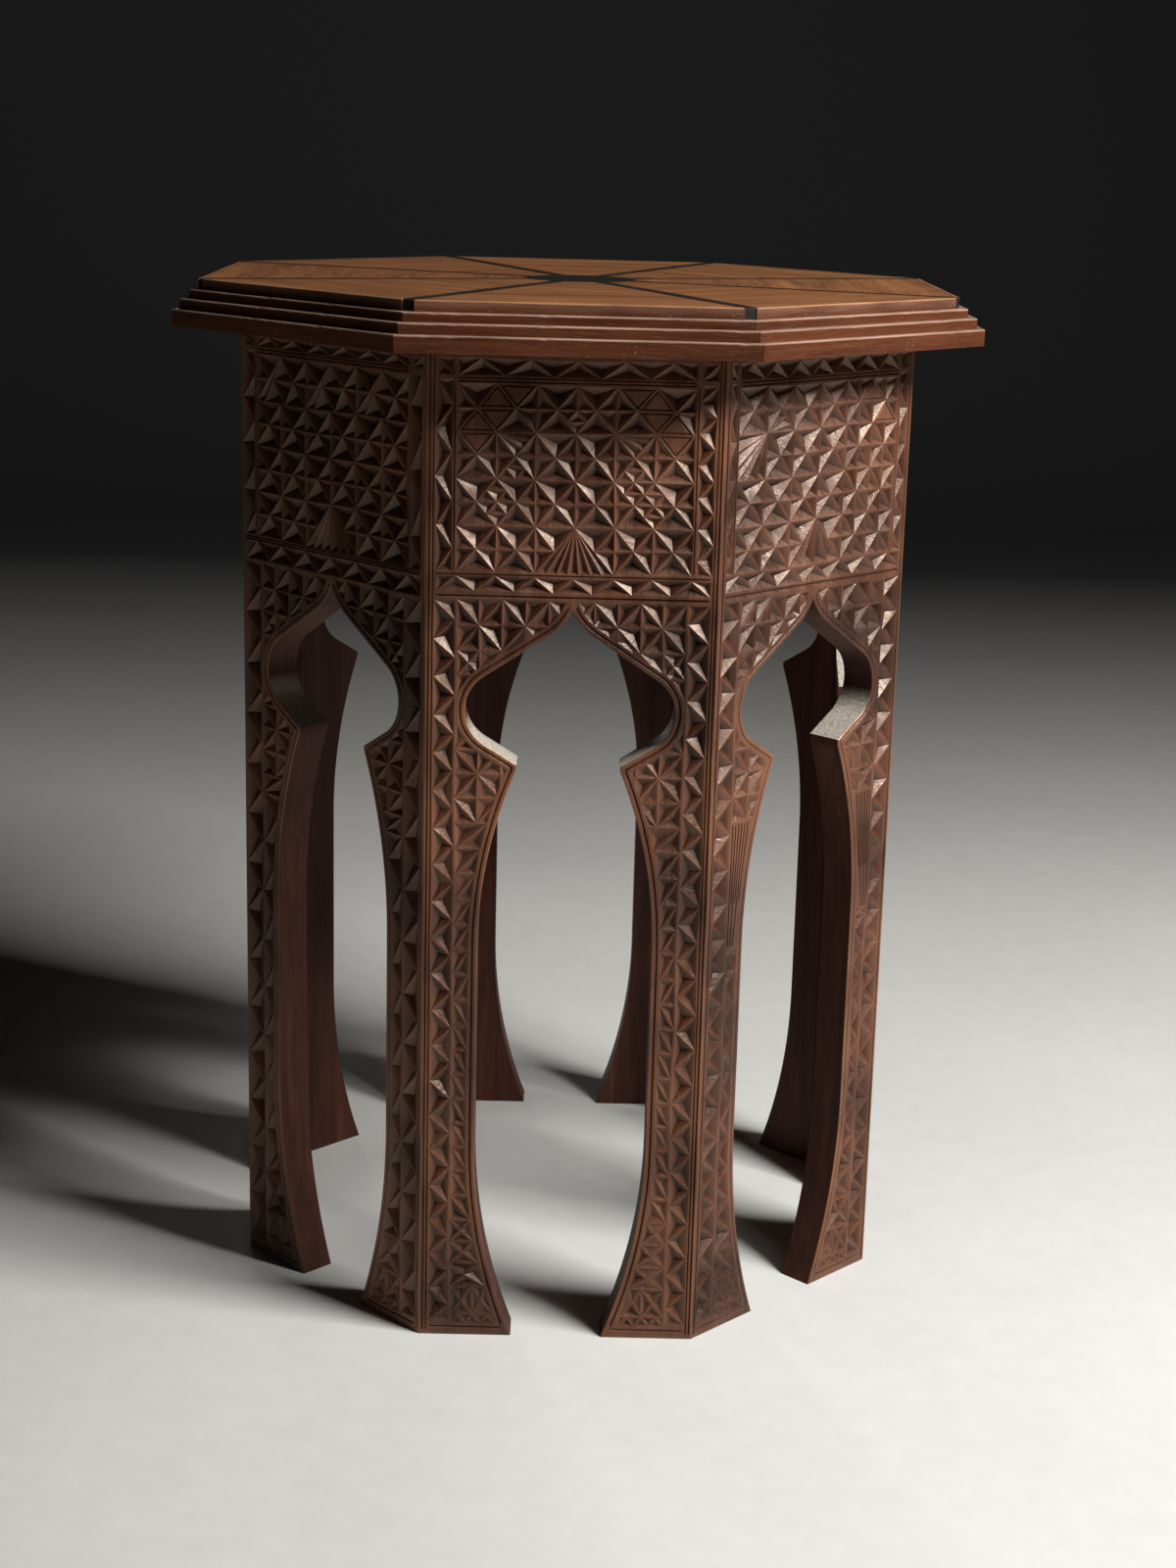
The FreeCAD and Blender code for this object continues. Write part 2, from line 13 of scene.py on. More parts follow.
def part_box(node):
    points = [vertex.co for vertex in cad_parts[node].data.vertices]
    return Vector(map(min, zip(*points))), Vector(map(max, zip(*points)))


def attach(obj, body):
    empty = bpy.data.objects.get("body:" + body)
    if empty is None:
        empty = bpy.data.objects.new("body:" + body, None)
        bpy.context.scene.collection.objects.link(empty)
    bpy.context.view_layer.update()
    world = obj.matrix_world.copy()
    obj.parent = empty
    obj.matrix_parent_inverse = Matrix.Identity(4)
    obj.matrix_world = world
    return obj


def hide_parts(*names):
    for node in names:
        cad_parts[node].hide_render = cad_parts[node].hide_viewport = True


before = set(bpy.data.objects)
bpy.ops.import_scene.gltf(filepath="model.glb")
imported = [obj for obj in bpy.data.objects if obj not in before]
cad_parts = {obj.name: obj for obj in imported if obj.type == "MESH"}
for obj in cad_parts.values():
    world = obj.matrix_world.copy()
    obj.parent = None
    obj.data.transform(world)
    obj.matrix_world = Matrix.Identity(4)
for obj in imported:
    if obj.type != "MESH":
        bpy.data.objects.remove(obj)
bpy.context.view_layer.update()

# Sizes are in millimetres, and the pieces are turned into metres when their meshes are made.
MM = 0.001
SIDE_NAMES = ("front", "front_right", "right", "back_right", "back", "back_left", "left", "front_left")
SIDE_TURN = math.radians(45)
MITRE_TAN = math.tan(SIDE_TURN / 2)
CORNER_TURN = SIDE_TURN / 2 - math.radians(90)

board_low, board_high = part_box("side_board_front")
BOARD_APOTHEM = -board_low.y / MM
BOARD_THICKNESS = (board_high.y - board_low.y) / MM
BOARD_HEIGHT = board_high.z / MM
HALF_WIDTH = BOARD_APOTHEM * MITRE_TAN
INNER_HALF_WIDTH = (BOARD_APOTHEM - BOARD_THICKNESS) * MITRE_TAN


# Arch of a board, seen from outside: u runs to the right from the middle line, v up from the floor

TIP_HEIGHT = 306.0
BULGE_HEIGHT = 333.0
TURN_HEIGHT = 370.3
APEX_HEIGHT = 383.0
TURN_SPAN = 11.0
BULGE_RADIUS = 20.0
BULGE_WALL = 19.6
TIP_WIDTH = 45.4
TIP_BLUNT = 2.5
WAIST_WIDTH = 27.3
WAIST_HEIGHT = 212.0
ANKLE_HEIGHT = 106.0
FOOT_WIDTH = 47.5
HEAD_SPACING = 1.6
LEG_SPACING = 5.0
CLEAR_OF_ARCH = 0.5
PARALLEL_SHARES = (0.25, 0.75)
PARALLEL_SLACK = 0.03


def touch_point(outside, centre, side):
    """Where a line from an outside point touches the bulge circle."""
    away = outside - centre
    bearing = math.atan2(away.y, away.x) + side * math.acos(BULGE_RADIUS / away.length)
    return centre + Vector((math.cos(bearing), math.sin(bearing))) * BULGE_RADIUS


def arc_points(centre, start, end, turn, spacing):
    """Points after start along an arc to end; turn is 1 for counter-clockwise and -1 for clockwise."""
    first = start - centre
    last = end - centre
    sweep = (math.atan2(last.y, last.x) - math.atan2(first.y, first.x)) * turn % math.tau
    count = max(2, round(sweep * first.length / spacing))
    angles = [turn * sweep * step / count for step in range(1, count + 1)]
    return [centre + Matrix.Rotation(angle, 2) @ first for angle in angles]


def line_points(start, end, spacing):
    """Points after start along a straight line to end."""
    count = max(1, round((end - start).length / spacing))
    return [start.lerp(end, step / count) for step in range(1, count + 1)]


def leg_centre(start, end):
    """Centre, level with its start, of the curve from the straight part of a leg to the leg's end."""
    step = end - start
    return start + Vector((step.length_squared / (2 * step.x), 0))


def half_arch():
    """Right half of the arch, from the ogee point down to the floor."""
    apex = Vector((0, APEX_HEIGHT))
    turn = Vector((TURN_SPAN, TURN_HEIGHT))
    bulge = Vector((HALF_WIDTH - BULGE_WALL - BULGE_RADIUS, BULGE_HEIGHT))
    shoulder = touch_point(turn, bulge, -1)
    tip = Vector((HALF_WIDTH - TIP_WIDTH, TIP_HEIGHT))
    under = touch_point(tip, bulge, 1)
    tip_lower = tip - Vector((0, TIP_BLUNT))
    waist = Vector((HALF_WIDTH - WAIST_WIDTH, WAIST_HEIGHT))
    ankle = Vector((HALF_WIDTH - WAIST_WIDTH, ANKLE_HEIGHT))
    foot = Vector((HALF_WIDTH - FOOT_WIDTH, 0))
    slope = (shoulder - turn).normalized()
    square = slope.orthogonal()
    rise = apex - turn
    ogee = turn + square * (rise.length_squared / (2 * rise.dot(square)))
    path = [apex]
    path += arc_points(ogee, apex, turn, 1, HEAD_SPACING)
    path += line_points(turn, shoulder, LEG_SPACING)
    path += arc_points(bulge, shoulder, under, -1, HEAD_SPACING)
    path += line_points(under, tip, LEG_SPACING)
    path.append(tip_lower)
    path += arc_points(leg_centre(waist, tip_lower), tip_lower, waist, -1, LEG_SPACING)
    path += line_points(waist, ankle, LEG_SPACING)
    path += arc_points(leg_centre(ankle, foot), ankle, foot, -1, LEG_SPACING)
    return path


def mirrored(points):
    return [Vector((-point.x, point.y)) for point in points]


RIGHT_ARCH = half_arch()
WHOLE_ARCH = mirrored(RIGHT_ARCH)[:0:-1] + RIGHT_ARCH
ARCH_STARTS = np.array(WHOLE_ARCH[:-1])
ARCH_STEPS = np.array(WHOLE_ARCH[1:]) - ARCH_STARTS
ARCH_SQUARES = (ARCH_STEPS ** 2).sum(1)
ARCH_INWARD = np.stack([-ARCH_STEPS[:, 1], ARCH_STEPS[:, 0]], 1) / np.sqrt(ARCH_SQUARES)[:, None]


def beside_arch(spot):
    """How far inside the wood a spot is, the arch's nearest point, and the way into the wood there."""
    away = np.array(spot) - ARCH_STARTS
    share = np.clip((away * ARCH_STEPS).sum(1) / ARCH_SQUARES, 0, 1)
    gaps = away - ARCH_STEPS * share[:, None]
    index = int((gaps ** 2).sum(1).argmin())
    beside = index + int(share[index] == 1) - int(share[index] == 0)
    beside = min(max(beside, 0), len(ARCH_STEPS) - 1)
    inward = Vector(ARCH_INWARD[index] + ARCH_INWARD[beside]).normalized()
    nearest = Vector(ARCH_STARTS[index] + ARCH_STEPS[index] * share[index])
    gap = Vector(gaps[index])
    side = 1 if gap.dot(inward) >= 0 else -1
    if gap.length > CLEAR_OF_ARCH:
        inward = gap.normalized() * side
    return side * gap.length, nearest, inward


def arch_parallel(distance, low, high):
    """A line in the wood beside the right half of the arch, at an even distance, between two heights."""
    line = []
    for start, end in zip(RIGHT_ARCH, RIGHT_ARCH[1:]):
        way = (end - start).normalized()
        inward = way.orthogonal()
        for share in PARALLEL_SHARES:
            spot = start.lerp(end, share) + inward * distance
            wanted = low < spot.y < high and spot.x > 0
            if wanted and beside_arch(spot)[0] > distance - PARALLEL_SLACK:
                line.append(spot)
    return line


def leg_edge(height):
    """Half width of the arch opening at a height on the legs."""
    spans = [point for point in reversed(RIGHT_ARCH) if point.y <= TIP_HEIGHT]
    return float(np.interp(height, [point.y for point in spans], [point.x for point in spans]))


# Cuts of one board, laid out flat

RIDGE = 0.14
CHIP_SLOPE = 0.74
SLOPE_STRAY = (0.78, 1.16)
DEEP_STRAY = 0.22
LEG_SHALLOW = 0.74
FACET_SWELL = 0.10
SWELL_STRAY = (-0.2, 1.0)
SMALLEST_CHIP = 0.9
SHORTEST_SIDE = 1e-6
DEEPEST_CUT = 3.4
EDGE_WEAR = 0.45
EDGE_DROP = 0.4
ARCH_BORDER = 4.4
BORDER_SLACK = 0.2
ARCH_OVERLAP = 3.0
ARCH_NEAR = 40.0
MOST_TRIMS = 6
SCORE_TAPER = 1.2
# How a hand strays, as two waves across and two up: size, and millimetres per radian across and up
HAND_WAVES = ((0.34, math.inf, 13), (0.26, 7, 19), (0.30, 12, math.inf), (0.24, 23, 8))
# The score round a plain field, from outside to inside, as (inset, depth)
OUTLINE_SCORE = ((0.35, 0), (1.0, 0.75), (1.65, 0))


def sides_of(corners):
    """The pairs of neighbouring corners round an outline."""
    return zip(corners, corners[1:] + corners[:1])


def middle_of(corners):
    return sum(corners, Vector((0, 0))) / len(corners)


def cut_back(corners, spot, inward):
    """The part of a convex outline on the inward side of a line."""
    kept = []
    for first, last in sides_of(corners):
        first_side = (first - spot).dot(inward)
        last_side = (last - spot).dot(inward)
        if first_side >= 0:
            kept.append(first)
        if first_side * last_side < 0:
            kept.append(first.lerp(last, first_side / (first_side - last_side)))
    return kept


def heart_of(corners):
    """Where the deepest point of a chip lies, and its distance from the nearest side."""
    heart = middle_of(corners)
    if len(corners) == 3:
        sides = [(corners[index - 1] - corners[index - 2]).length for index in range(3)]
        heart = sum((corner * side for corner, side in zip(corners, sides)), Vector((0, 0))) / sum(sides)
    reach = math.inf
    for first, last in sides_of(corners):
        way = last - first
        if way.length < SHORTEST_SIDE:
            continue
        away = heart - first
        reach = min(reach, abs(way.x * away.y - way.y * away.x) / way.length)
    return heart, reach


class Carving:
    """Spots with their depths, and the lines between them that the surface has to follow."""

    def __init__(self, seed):
        self.spots = []
        self.depths = []
        self.lines = []
        self.chance = random.Random(seed)
        self.sway = [self.chance.uniform(0, math.tau) for wave in HAND_WAVES]

    def by_hand(self, spot):
        """A spot as a hand would have marked it out, a little off the ruled place."""
        waves = [
            size * math.sin(spot.x / across + spot.y / up + start)
            for (size, across, up), start in zip(HAND_WAVES, self.sway)
        ]
        return spot + Vector((waves[0] + waves[1], waves[2] + waves[3]))

    def spot(self, place, depth):
        self.spots.append(Vector(place))
        self.depths.append(depth)
        return len(self.spots) - 1

    def path(self, places, depth, closed=False):
        ids = [self.spot(place, depth) for place in places]
        self.lines += zip(ids, ids[1:])
        if closed:
            self.lines.append((ids[-1], ids[0]))
        return ids

    def chip(self, corners):
        """A pit with a slightly rounded facet from each side of a convex outline to one deep point."""
        corners = self.off_the_arch([self.by_hand(corner) for corner in corners])
        if len(corners) < 3:
            return
        heart, reach = heart_of(corners)
        if reach < SMALLEST_CHIP:
            return
        share = 1 - RIDGE / 2 / reach
        rim = [heart.lerp(corner, share) for corner in corners]
        slope = CHIP_SLOPE * self.chance.uniform(*SLOPE_STRAY)
        if heart.y < TIP_HEIGHT:
            slope *= LEG_SHALLOW
        stray = Vector((self.chance.uniform(-1, 1), self.chance.uniform(-1, 1))) * reach * DEEP_STRAY
        bottom = heart + stray
        depth = min(DEEPEST_CUT, slope * reach)
        deep = self.spot(bottom, depth)
        self.lines += [(deep, corner) for corner in self.path(rim, 0, closed=True)]
        for first, last in sides_of(rim):
            swell = self.chance.uniform(*SWELL_STRAY) * FACET_SWELL
            self.spot((first + last + bottom) / 3, depth * (1 / 3 - swell))

    def off_the_arch(self, corners):
        """An outline cut back where it comes too near the arch, or nothing where too little is left."""
        middle = middle_of(corners)
        gap, nearest, inward = beside_arch(middle)
        if gap > ARCH_NEAR:
            return corners
        if gap < ARCH_BORDER - ARCH_OVERLAP:
            return []
        for attempt in range(MOST_TRIMS):
            found = [beside_arch(corner) for corner in corners]
            gap, nearest, inward = min(found, key=lambda each: each[0])
            if gap > ARCH_BORDER - BORDER_SLACK:
                return corners
            if attempt == 0:
                gap, nearest, inward = beside_arch(middle)
            corners = cut_back(corners, nearest + inward * ARCH_BORDER, inward)
            if len(corners) < 3:
                return []
        return []

    def fan(self, point, rim):
        """Long flutes spreading from a point to a row of places."""
        for first, last in zip(rim, rim[1:]):
            self.chip([point, first, last])

    def quarter_chips(self, a, b, c):
        """A three-cornered field cut as four small chips."""
        ab = (a + b) / 2
        bc = (b + c) / 2
        ca = (c + a) / 2
        for corners in ((a, ab, ca), (ab, b, bc), (ca, bc, c), (ab, bc, ca)):
            self.chip(list(corners))

    def plain_field(self, a, b, c):
        """A three-cornered field left flat inside a scored outline."""
        corners = [self.by_hand(corner) for corner in (a, b, c)]
        heart, reach = heart_of(corners)
        for inset, depth in OUTLINE_SCORE:
            self.path([heart.lerp(corner, 1 - inset / reach) for corner in corners], depth, closed=True)

    def score(self, start, end, width, depth):
        """A straight V-shaped line that runs out to a point at both ends."""
        start = Vector(start)
        end = Vector(end)
        way = (end - start).normalized()
        aside = way.orthogonal() * width / 2
        near = start + way * SCORE_TAPER
        far = end - way * SCORE_TAPER
        rim = [start, near + aside, far + aside, end, far - aside, near - aside]
        ends = self.path(rim, 0, closed=True)
        bottom = self.path([near, far], depth)
        self.lines += [(ends[0], bottom[0]), (bottom[1], ends[3])]

    def arch_score(self, distance, width, depth, low, high):
        """A V-shaped line along both sides of the arch."""
        for turn in (list, mirrored):
            outer, middle, inner = [
                self.path(turn(arch_parallel(distance + offset, low, high)), drop)
                for offset, drop in ((-width / 2, 0), (0, depth), (width / 2, 0))
            ]
            for end in (0, -1):
                self.lines += [(outer[end], middle[end]), (middle[end], inner[end])]

    def zigzag(self, start, end, near, far, period, upright):
        """A band of three-cornered chips that point alternately to both of its sides."""
        count = max(1, round((end - start) / period))
        pitch = (end - start) / count

        def place(along, across):
            return Vector((across, along)) if upright else Vector((along, across))

        for index in range(count):
            low = start + index * pitch
            self.chip([place(low, near), place(low + pitch, near), place(low + pitch / 2, far)])
            if index:
                self.chip([place(low - pitch / 2, far), place(low + pitch / 2, far), place(low, near)])
        self.chip([place(start, near), place(start + pitch / 2, far), place(start, far)])
        self.chip([place(end, near), place(end - pitch / 2, far), place(end, far)])

    def cell(self, a, b, c, d, cut):
        """A four-cornered field, from its lower left corner round, cut along one diagonal or both."""
        if cut == "rising":
            self.chip([a, b, c])
            self.chip([a, c, d])
        elif cut == "falling":
            self.chip([a, b, d])
            self.chip([b, c, d])
        else:
            middle = (a + b + c + d) / 4
            for first, last in ((a, b), (b, c), (c, d), (d, a)):
                self.chip([first, last, middle])


# Pattern of the boards

FIELD_ROWS = 8
FIELD_STEPS = 12
# Each field: its left and right edge, its foot and its head
FRONT_FIELD = (-56.6, 56.6, 401.0, 490.6)
LEFT_FIELD = (-58.6, 57.6, 401.0, 493.4)
RIGHT_FIELD = (-61.4, 59.4, 401.0, 490.6)
COLUMN_INNER = 56.4
COLUMN_FOOT = 7.5
# Each kind of upright edge: its score lines as (place, width, depth), and how far out the chips reach
SCORED_EDGE = (((67.5, 0.9, 0.7), (69.3, 1.0, 0.9)), 66.6)
NARROW_EDGE = (((69.0, 1.2, 0.9),), 67.8)
BARE_EDGE = ((), 69.4)
# Each kind of band below the field: its head and foot, and its scores as (height, width, depth)
LINED_BAND = (398.9, 391.4, ((399.8, 1.0, 0.8), (389.3, 1.5, 1.0)))
OPEN_BAND = (398.0, 388.4, ((400.2, 0.95, 0.8), (398.8, 0.95, 0.8)))
RAILED_BAND = (400.4, 392.4, ((390.2, 2.6, 1.3),))
LEG_RIDGE = 55.6
GRID_WIDTH = 11.1
GRID_HEIGHT = 12.4
GRID_TOP = 387.4
GRID_ROWS = 9
GRID_COLUMNS = 5
CROSSED_CELL = (2, 4)
FANNED_CELLS = ((0, 3), (0, 4), (7, 3))
CELL_FLUTES = 4
LEG_CELL = 13.2
LEG_CELLS = 16
RISING_CELLS = 7
FOOT_CELL = 12.4
FOOT_CELLS = 3
FOOT_LOW = 11.5
FOOT_DIVIDE = 44.0
FOOT_BAND_LOW = 6.0
FOOT_BAND_PERIOD = 9.0
FLUTED_CELLS = 5
FLUTES = 6
FLUTE_SLACK = 2.4
FLUTE_END_GAP = 0.6
FLUTE_WIDTH = 0.85
FLUTE_DEPTH = 0.9
FLUTE_STAGGER = 0.35
# Gaps and insets of the score lines and bands; what is named a cut is a width and a depth
SCORE_INSET = 0.4
HEAD_SCORE_GAPS = (1.3, 2.9)
HEAD_SCORE_CUT = (0.95, 0.75)
SIDE_SCORE_GAP = 1.0
SIDE_SCORE_FOOT = 0.6
SIDE_SCORE_HEAD = 0.5
SIDE_SCORE_CUT = (0.9, 0.7)
TOP_BAND_GAP = 3.7
TOP_BAND_MARGIN = 4.5
LOW_BAND_INSET = 0.6
SIDE_BAND_GAP = 1.8
SIDE_BAND_INSET = 0.2
SIDE_BAND_RISE = 2.0
NARROWEST_BAND = 2.5
CORNER_CHIP_RISE = 4.0
EDGE_SCORE_FOOT = 2.0
EDGE_SCORE_HEAD = 1.5
FOOT_SCORE_HEIGHT = 4.4
FOOT_SCORE_GAP = 3.5
FOOT_SCORE_CUT = (1.1, 0.8)
ARCH_LINE_FOOT = 6.0
ARCH_LINE_GAP = 1.0


class Field:
    """The square field of a board, as a lattice of rows and half bases."""

    def __init__(self, left, right, low, high):
        self.left = left
        self.low = low
        self.step = (right - left) / FIELD_STEPS
        self.row = (high - low) / FIELD_ROWS

    def at(self, step, row):
        return Vector((self.left + step * self.step, self.low + row * self.row))

    def triangle(self, row, step):
        """Corners of the triangle of a row that stands on a step, point first."""
        tip, base = (row + 1, row) if (row + step) % 2 else (row, row + 1)
        left = max(step - 1, 0)
        right = min(step + 1, FIELD_STEPS)
        return [self.at(step, tip), self.at(left, base), self.at(right, base)]


def tall_cells(steps, foot=0):
    """The triangles within a tall one, two rows high, that stands on each of the steps."""
    shifts = ((1, 0), (0, -1), (0, 0), (0, 1))
    return {(foot + row, step + shift) for step in steps for row, shift in shifts}


def carve_field(carving, field, plain=(), quartered=(), left_out=(), whole_columns=(), fans=((6, 6),)):
    """Rows of triangles, those on even steps split by a ridge, and fans as (step, flutes) at the foot."""
    skipped = tall_cells([step for step, flutes in fans]).union(left_out)
    for row in range(FIELD_ROWS):
        for step in range(FIELD_STEPS + 1):
            point, first, last = field.triangle(row, step)
            if (row, step) in skipped:
                continue
            if (row, step) in plain:
                carving.plain_field(point, first, last)
            elif (row, step) in quartered:
                carving.quarter_chips(point, first, last)
            elif step % 2 and step not in whole_columns or step in (0, FIELD_STEPS):
                carving.chip([point, first, last])
            else:
                foot = Vector((point.x, first.y))
                carving.chip([point, first, foot])
                carving.chip([point, foot, last])
    for step, flutes in fans:
        rim = [field.at(step - 2 + 4 * index / flutes, 0) for index in range(flutes + 1)]
        carving.fan(field.at(step, 2), rim)


def fan_cell(carving, low_inner, low_outer, high_outer, high_inner):
    """A cell with flutes that spread from its upper inner corner, and one chip beside them."""
    rim = [low_inner.lerp(low_outer, index / CELL_FLUTES) for index in range(CELL_FLUTES + 1)]
    carving.fan(high_inner, rim)
    carving.chip([high_inner, low_outer, high_outer])


def carve_spandrels(carving, fluted):
    """Square cells round the arch head, with their diagonals drawn into eight-rayed stars."""
    for side in (-1, 1):
        def at(column, row):
            return Vector((side * column * GRID_WIDTH, GRID_TOP - row * GRID_HEIGHT))

        for row in range(GRID_ROWS):
            for column in range(GRID_COLUMNS):
                corners = at(column, row + 1), at(column + 1, row + 1), at(column + 1, row), at(column, row)
                if fluted and (row, column) in FANNED_CELLS:
                    fan_cell(carving, *corners)
                elif (row, column) == CROSSED_CELL and not fluted:
                    carving.cell(*corners, "crossed")
                else:
                    carving.cell(*corners, "falling" if (row + column) % 2 else "rising")


def inner_side(side, height, slack=0.0):
    """Where the carving of a leg ends beside the arch, at a height."""
    return Vector((side * (leg_edge(height) + ARCH_BORDER + slack), height))


def leg_cell(carving, side, low, high, cut, inner=None, outer=LEG_RIDGE):
    """One cell of a leg, from the arch border or an inner place to the ridge or an outer place."""
    low_inner = Vector((side * inner, low)) if inner else inner_side(side, low)
    high_inner = Vector((side * inner, high)) if inner else inner_side(side, high)
    corners = [low_inner, Vector((side * outer, low)), Vector((side * outer, high)), high_inner]
    if side < 0:
        corners = [corners[1], corners[0], corners[3], corners[2]]
    carving.cell(*corners, cut)


def leg_zigzag(carving, side, first, pitch, count):
    """A column of chips between the ridge and the arch border that keeps step with the outer column."""
    for index in range(count + 1):
        height = first + index * pitch
        ridge = Vector((side * LEG_RIDGE, height))
        below = inner_side(side, max(height - pitch / 2, first))
        above = inner_side(side, min(height + pitch / 2, first + count * pitch))
        carving.chip([ridge, below, above])
        if index < count:
            carving.chip([ridge, ridge + Vector((0, pitch)), above])


def leg_cut(index):
    """How a cell of a leg is cut, counted from the uppermost."""
    if index < RISING_CELLS:
        return "rising"
    return "falling" if index < LEG_CELLS else "crossed"


def carve_flutes(carving, side, low, high):
    """Upright flutes, long and short by turns, between the arch border and the ridge of a leg."""
    def ends(height):
        border = inner_side(side, height, FLUTE_SLACK)
        ridge = Vector((side * LEG_RIDGE, height))
        return [border.lerp(ridge, (index + 0.5) / FLUTES) for index in range(FLUTES)]

    lower = ends(low + FLUTE_END_GAP)
    upper = ends(high - FLUTE_END_GAP)
    for index, (low_end, high_end) in enumerate(zip(lower, upper)):
        foot = low_end if index % 2 else low_end.lerp(high_end, FLUTE_STAGGER)
        carving.score(foot, high_end, FLUTE_WIDTH, FLUTE_DEPTH)


def carve_legs(carving, style):
    """The inner column of both legs, down to the larger cells where the feet spread."""
    top = GRID_TOP - GRID_ROWS * GRID_HEIGHT
    heights = [top - index * LEG_CELL for index in range(LEG_CELLS + 1)]
    heights += [heights[-1] - FOOT_CELL * index for index in range(1, FOOT_CELLS + 1)]
    foot_top = heights[-1]
    pitch = (GRID_TOP - COLUMN_FOOT) / round((GRID_TOP - COLUMN_FOOT) / style.column_period)
    fluted = style.legs == "fluted"
    for side in (-1, 1):
        if style.legs == "cells":
            for index, (high, low) in enumerate(zip(heights, heights[1:])):
                leg_cell(carving, side, low, high, leg_cut(index))
        else:
            shift = 0.0 if fluted else 0.5
            zigzag_top = heights[FLUTED_CELLS] if fluted else top
            steps = math.ceil((foot_top - COLUMN_FOOT) / pitch - shift)
            first = COLUMN_FOOT + (steps + shift) * pitch
            count = int((zigzag_top - first) / pitch)
            leg_zigzag(carving, side, first, pitch, count)
            leg_cell(carving, side, foot_top, first, "crossed")
            leg_cell(carving, side, first + count * pitch, zigzag_top, "rising")
        if fluted:
            carve_flutes(carving, side, zigzag_top, top)
        leg_cell(carving, side, FOOT_LOW, foot_top, "crossed", outer=FOOT_DIVIDE)
        leg_cell(carving, side, FOOT_LOW, foot_top, "crossed", inner=FOOT_DIVIDE)
        ends = sorted((inner_side(side, FOOT_LOW).x, side * LEG_RIDGE))
        carving.zigzag(*ends, FOOT_BAND_LOW, FOOT_LOW, FOOT_BAND_PERIOD, upright=False)


def carve_edges(carving, field, style):
    """Score lines, zigzag bands round the field, and the upright columns beside the corner edges."""
    left, right, low, high = field
    band_top = BOARD_HEIGHT - TOP_BAND_MARGIN
    low_band_top, low_band_foot, level_scores = style.band
    left_reach = style.left_edge[1]
    right_reach = style.right_edge[1]
    for height, width, depth in level_scores:
        start = (SCORE_INSET - left_reach, height)
        carving.score(start, (right_reach - SCORE_INSET, height), width, depth)
    for gap in HEAD_SCORE_GAPS:
        carving.score((left, high + gap), (right, high + gap), *HEAD_SCORE_CUT)
    for place in (left - SIDE_SCORE_GAP, right + SIDE_SCORE_GAP):
        carving.score((place, low + SIDE_SCORE_FOOT), (place, high + SIDE_SCORE_HEAD), *SIDE_SCORE_CUT)
    carving.zigzag(left, right, high + TOP_BAND_GAP, band_top, style.top_period, upright=False)
    start = LOW_BAND_INSET - left_reach
    end = right_reach - LOW_BAND_INSET
    carving.zigzag(start, end, low_band_foot, low_band_top, style.low_period, upright=False)
    sides = ((-1, left - SIDE_BAND_GAP, style.left_edge, style.left_period),
             (1, right + SIDE_BAND_GAP, style.right_edge, style.right_period))
    for side, inner, (scores, reach), period in sides:
        for place, width, depth in scores:
            start = (side * place, EDGE_SCORE_FOOT)
            carving.score(start, (side * place, BOARD_HEIGHT - EDGE_SCORE_HEAD), width, depth)
        outer = side * (reach - SIDE_BAND_INSET)
        if abs(outer - inner) > NARROWEST_BAND:
            carving.zigzag(low, high + SIDE_BAND_RISE, outer, inner, period, upright=True)
            low_inner = Vector((inner, high + CORNER_CHIP_RISE))
            low_outer = Vector((outer, high + CORNER_CHIP_RISE))
            high_outer = Vector((outer, band_top))
            carving.chip([low_inner, low_outer, high_outer])
            carving.chip([low_inner, high_outer, Vector((inner, band_top))])
        column = (side * reach, side * COLUMN_INNER)
        carving.zigzag(COLUMN_FOOT, GRID_TOP, *column, style.column_period, upright=True)
        foot = leg_edge(FOOT_SCORE_HEIGHT) + FOOT_SCORE_GAP
        start, end = sorted((side * foot, side * (reach - SCORE_INSET)))
        carving.score((start, FOOT_SCORE_HEIGHT), (end, FOOT_SCORE_HEIGHT), *FOOT_SCORE_CUT)
    carving.arch_score(*style.arch_line, ARCH_LINE_FOOT, GRID_TOP - ARCH_LINE_GAP)


def carve_front(carving, field):
    """Rhombus chains in both upper corners, small quartered chips, and short fans between the stars."""
    plain = {(7, 9), (7, 10), (6, 10), (6, 11), (5, 11), (7, 2), (7, 3), (6, 1), (6, 2), (5, 1)}
    quartered = {(3, 2), (2, 2), (4, 3), (3, 9), (3, 10), (2, 10), (4, 9), (6, 6)}
    carve_field(carving, field, plain, quartered, left_out={(5, 3), (5, 9)}, fans=((6, 7),))
    for step in (2, 8):
        rim = [field.at(step + 1 + share, 5 + share) for share in (0, 0.36, 0.68, 1)]
        carving.fan(field.at(step, 6), rim)


def carve_front_left(carving, field):
    """Three tall divided triangles along the head of the field."""
    steps = (2, 6, 10)
    carve_field(carving, field, left_out=tall_cells(steps, 6))
    for step in steps:
        point = field.at(step, 8)
        divide = field.at(step - 1.3, 6)
        carving.chip([point, field.at(step - 2, 6), divide])
        carving.quarter_chips(point, divide, field.at(step + 2, 6))


def carve_front_right(carving, field):
    """Bold flutes that spread from one star to the edge of the field."""
    plain = {(7, 10), (6, 11)}
    fluted = {(5, 0), (5, 1), (4, 0), (4, 1), (6, 3), (5, 2), (4, 2)}
    carve_field(carving, field, plain, left_out=fluted, whole_columns=(9, 11), fans=((6, 4),))
    star = field.at(2, 6)
    carving.fan(star, [field.at(0, 6 - share * 2 / 3) for share in range(4)])
    carving.fan(star, [field.at(share * 2 / 3, 4) for share in range(4)])
    carving.fan(star, [field.at(3 + share, 7 - share) for share in (0, 0.36, 0.7, 1)])
    carving.chip([star, field.at(3, 5), field.at(2, 5)])
    carving.chip([field.at(3, 5), field.at(2, 5), field.at(2, 4)])


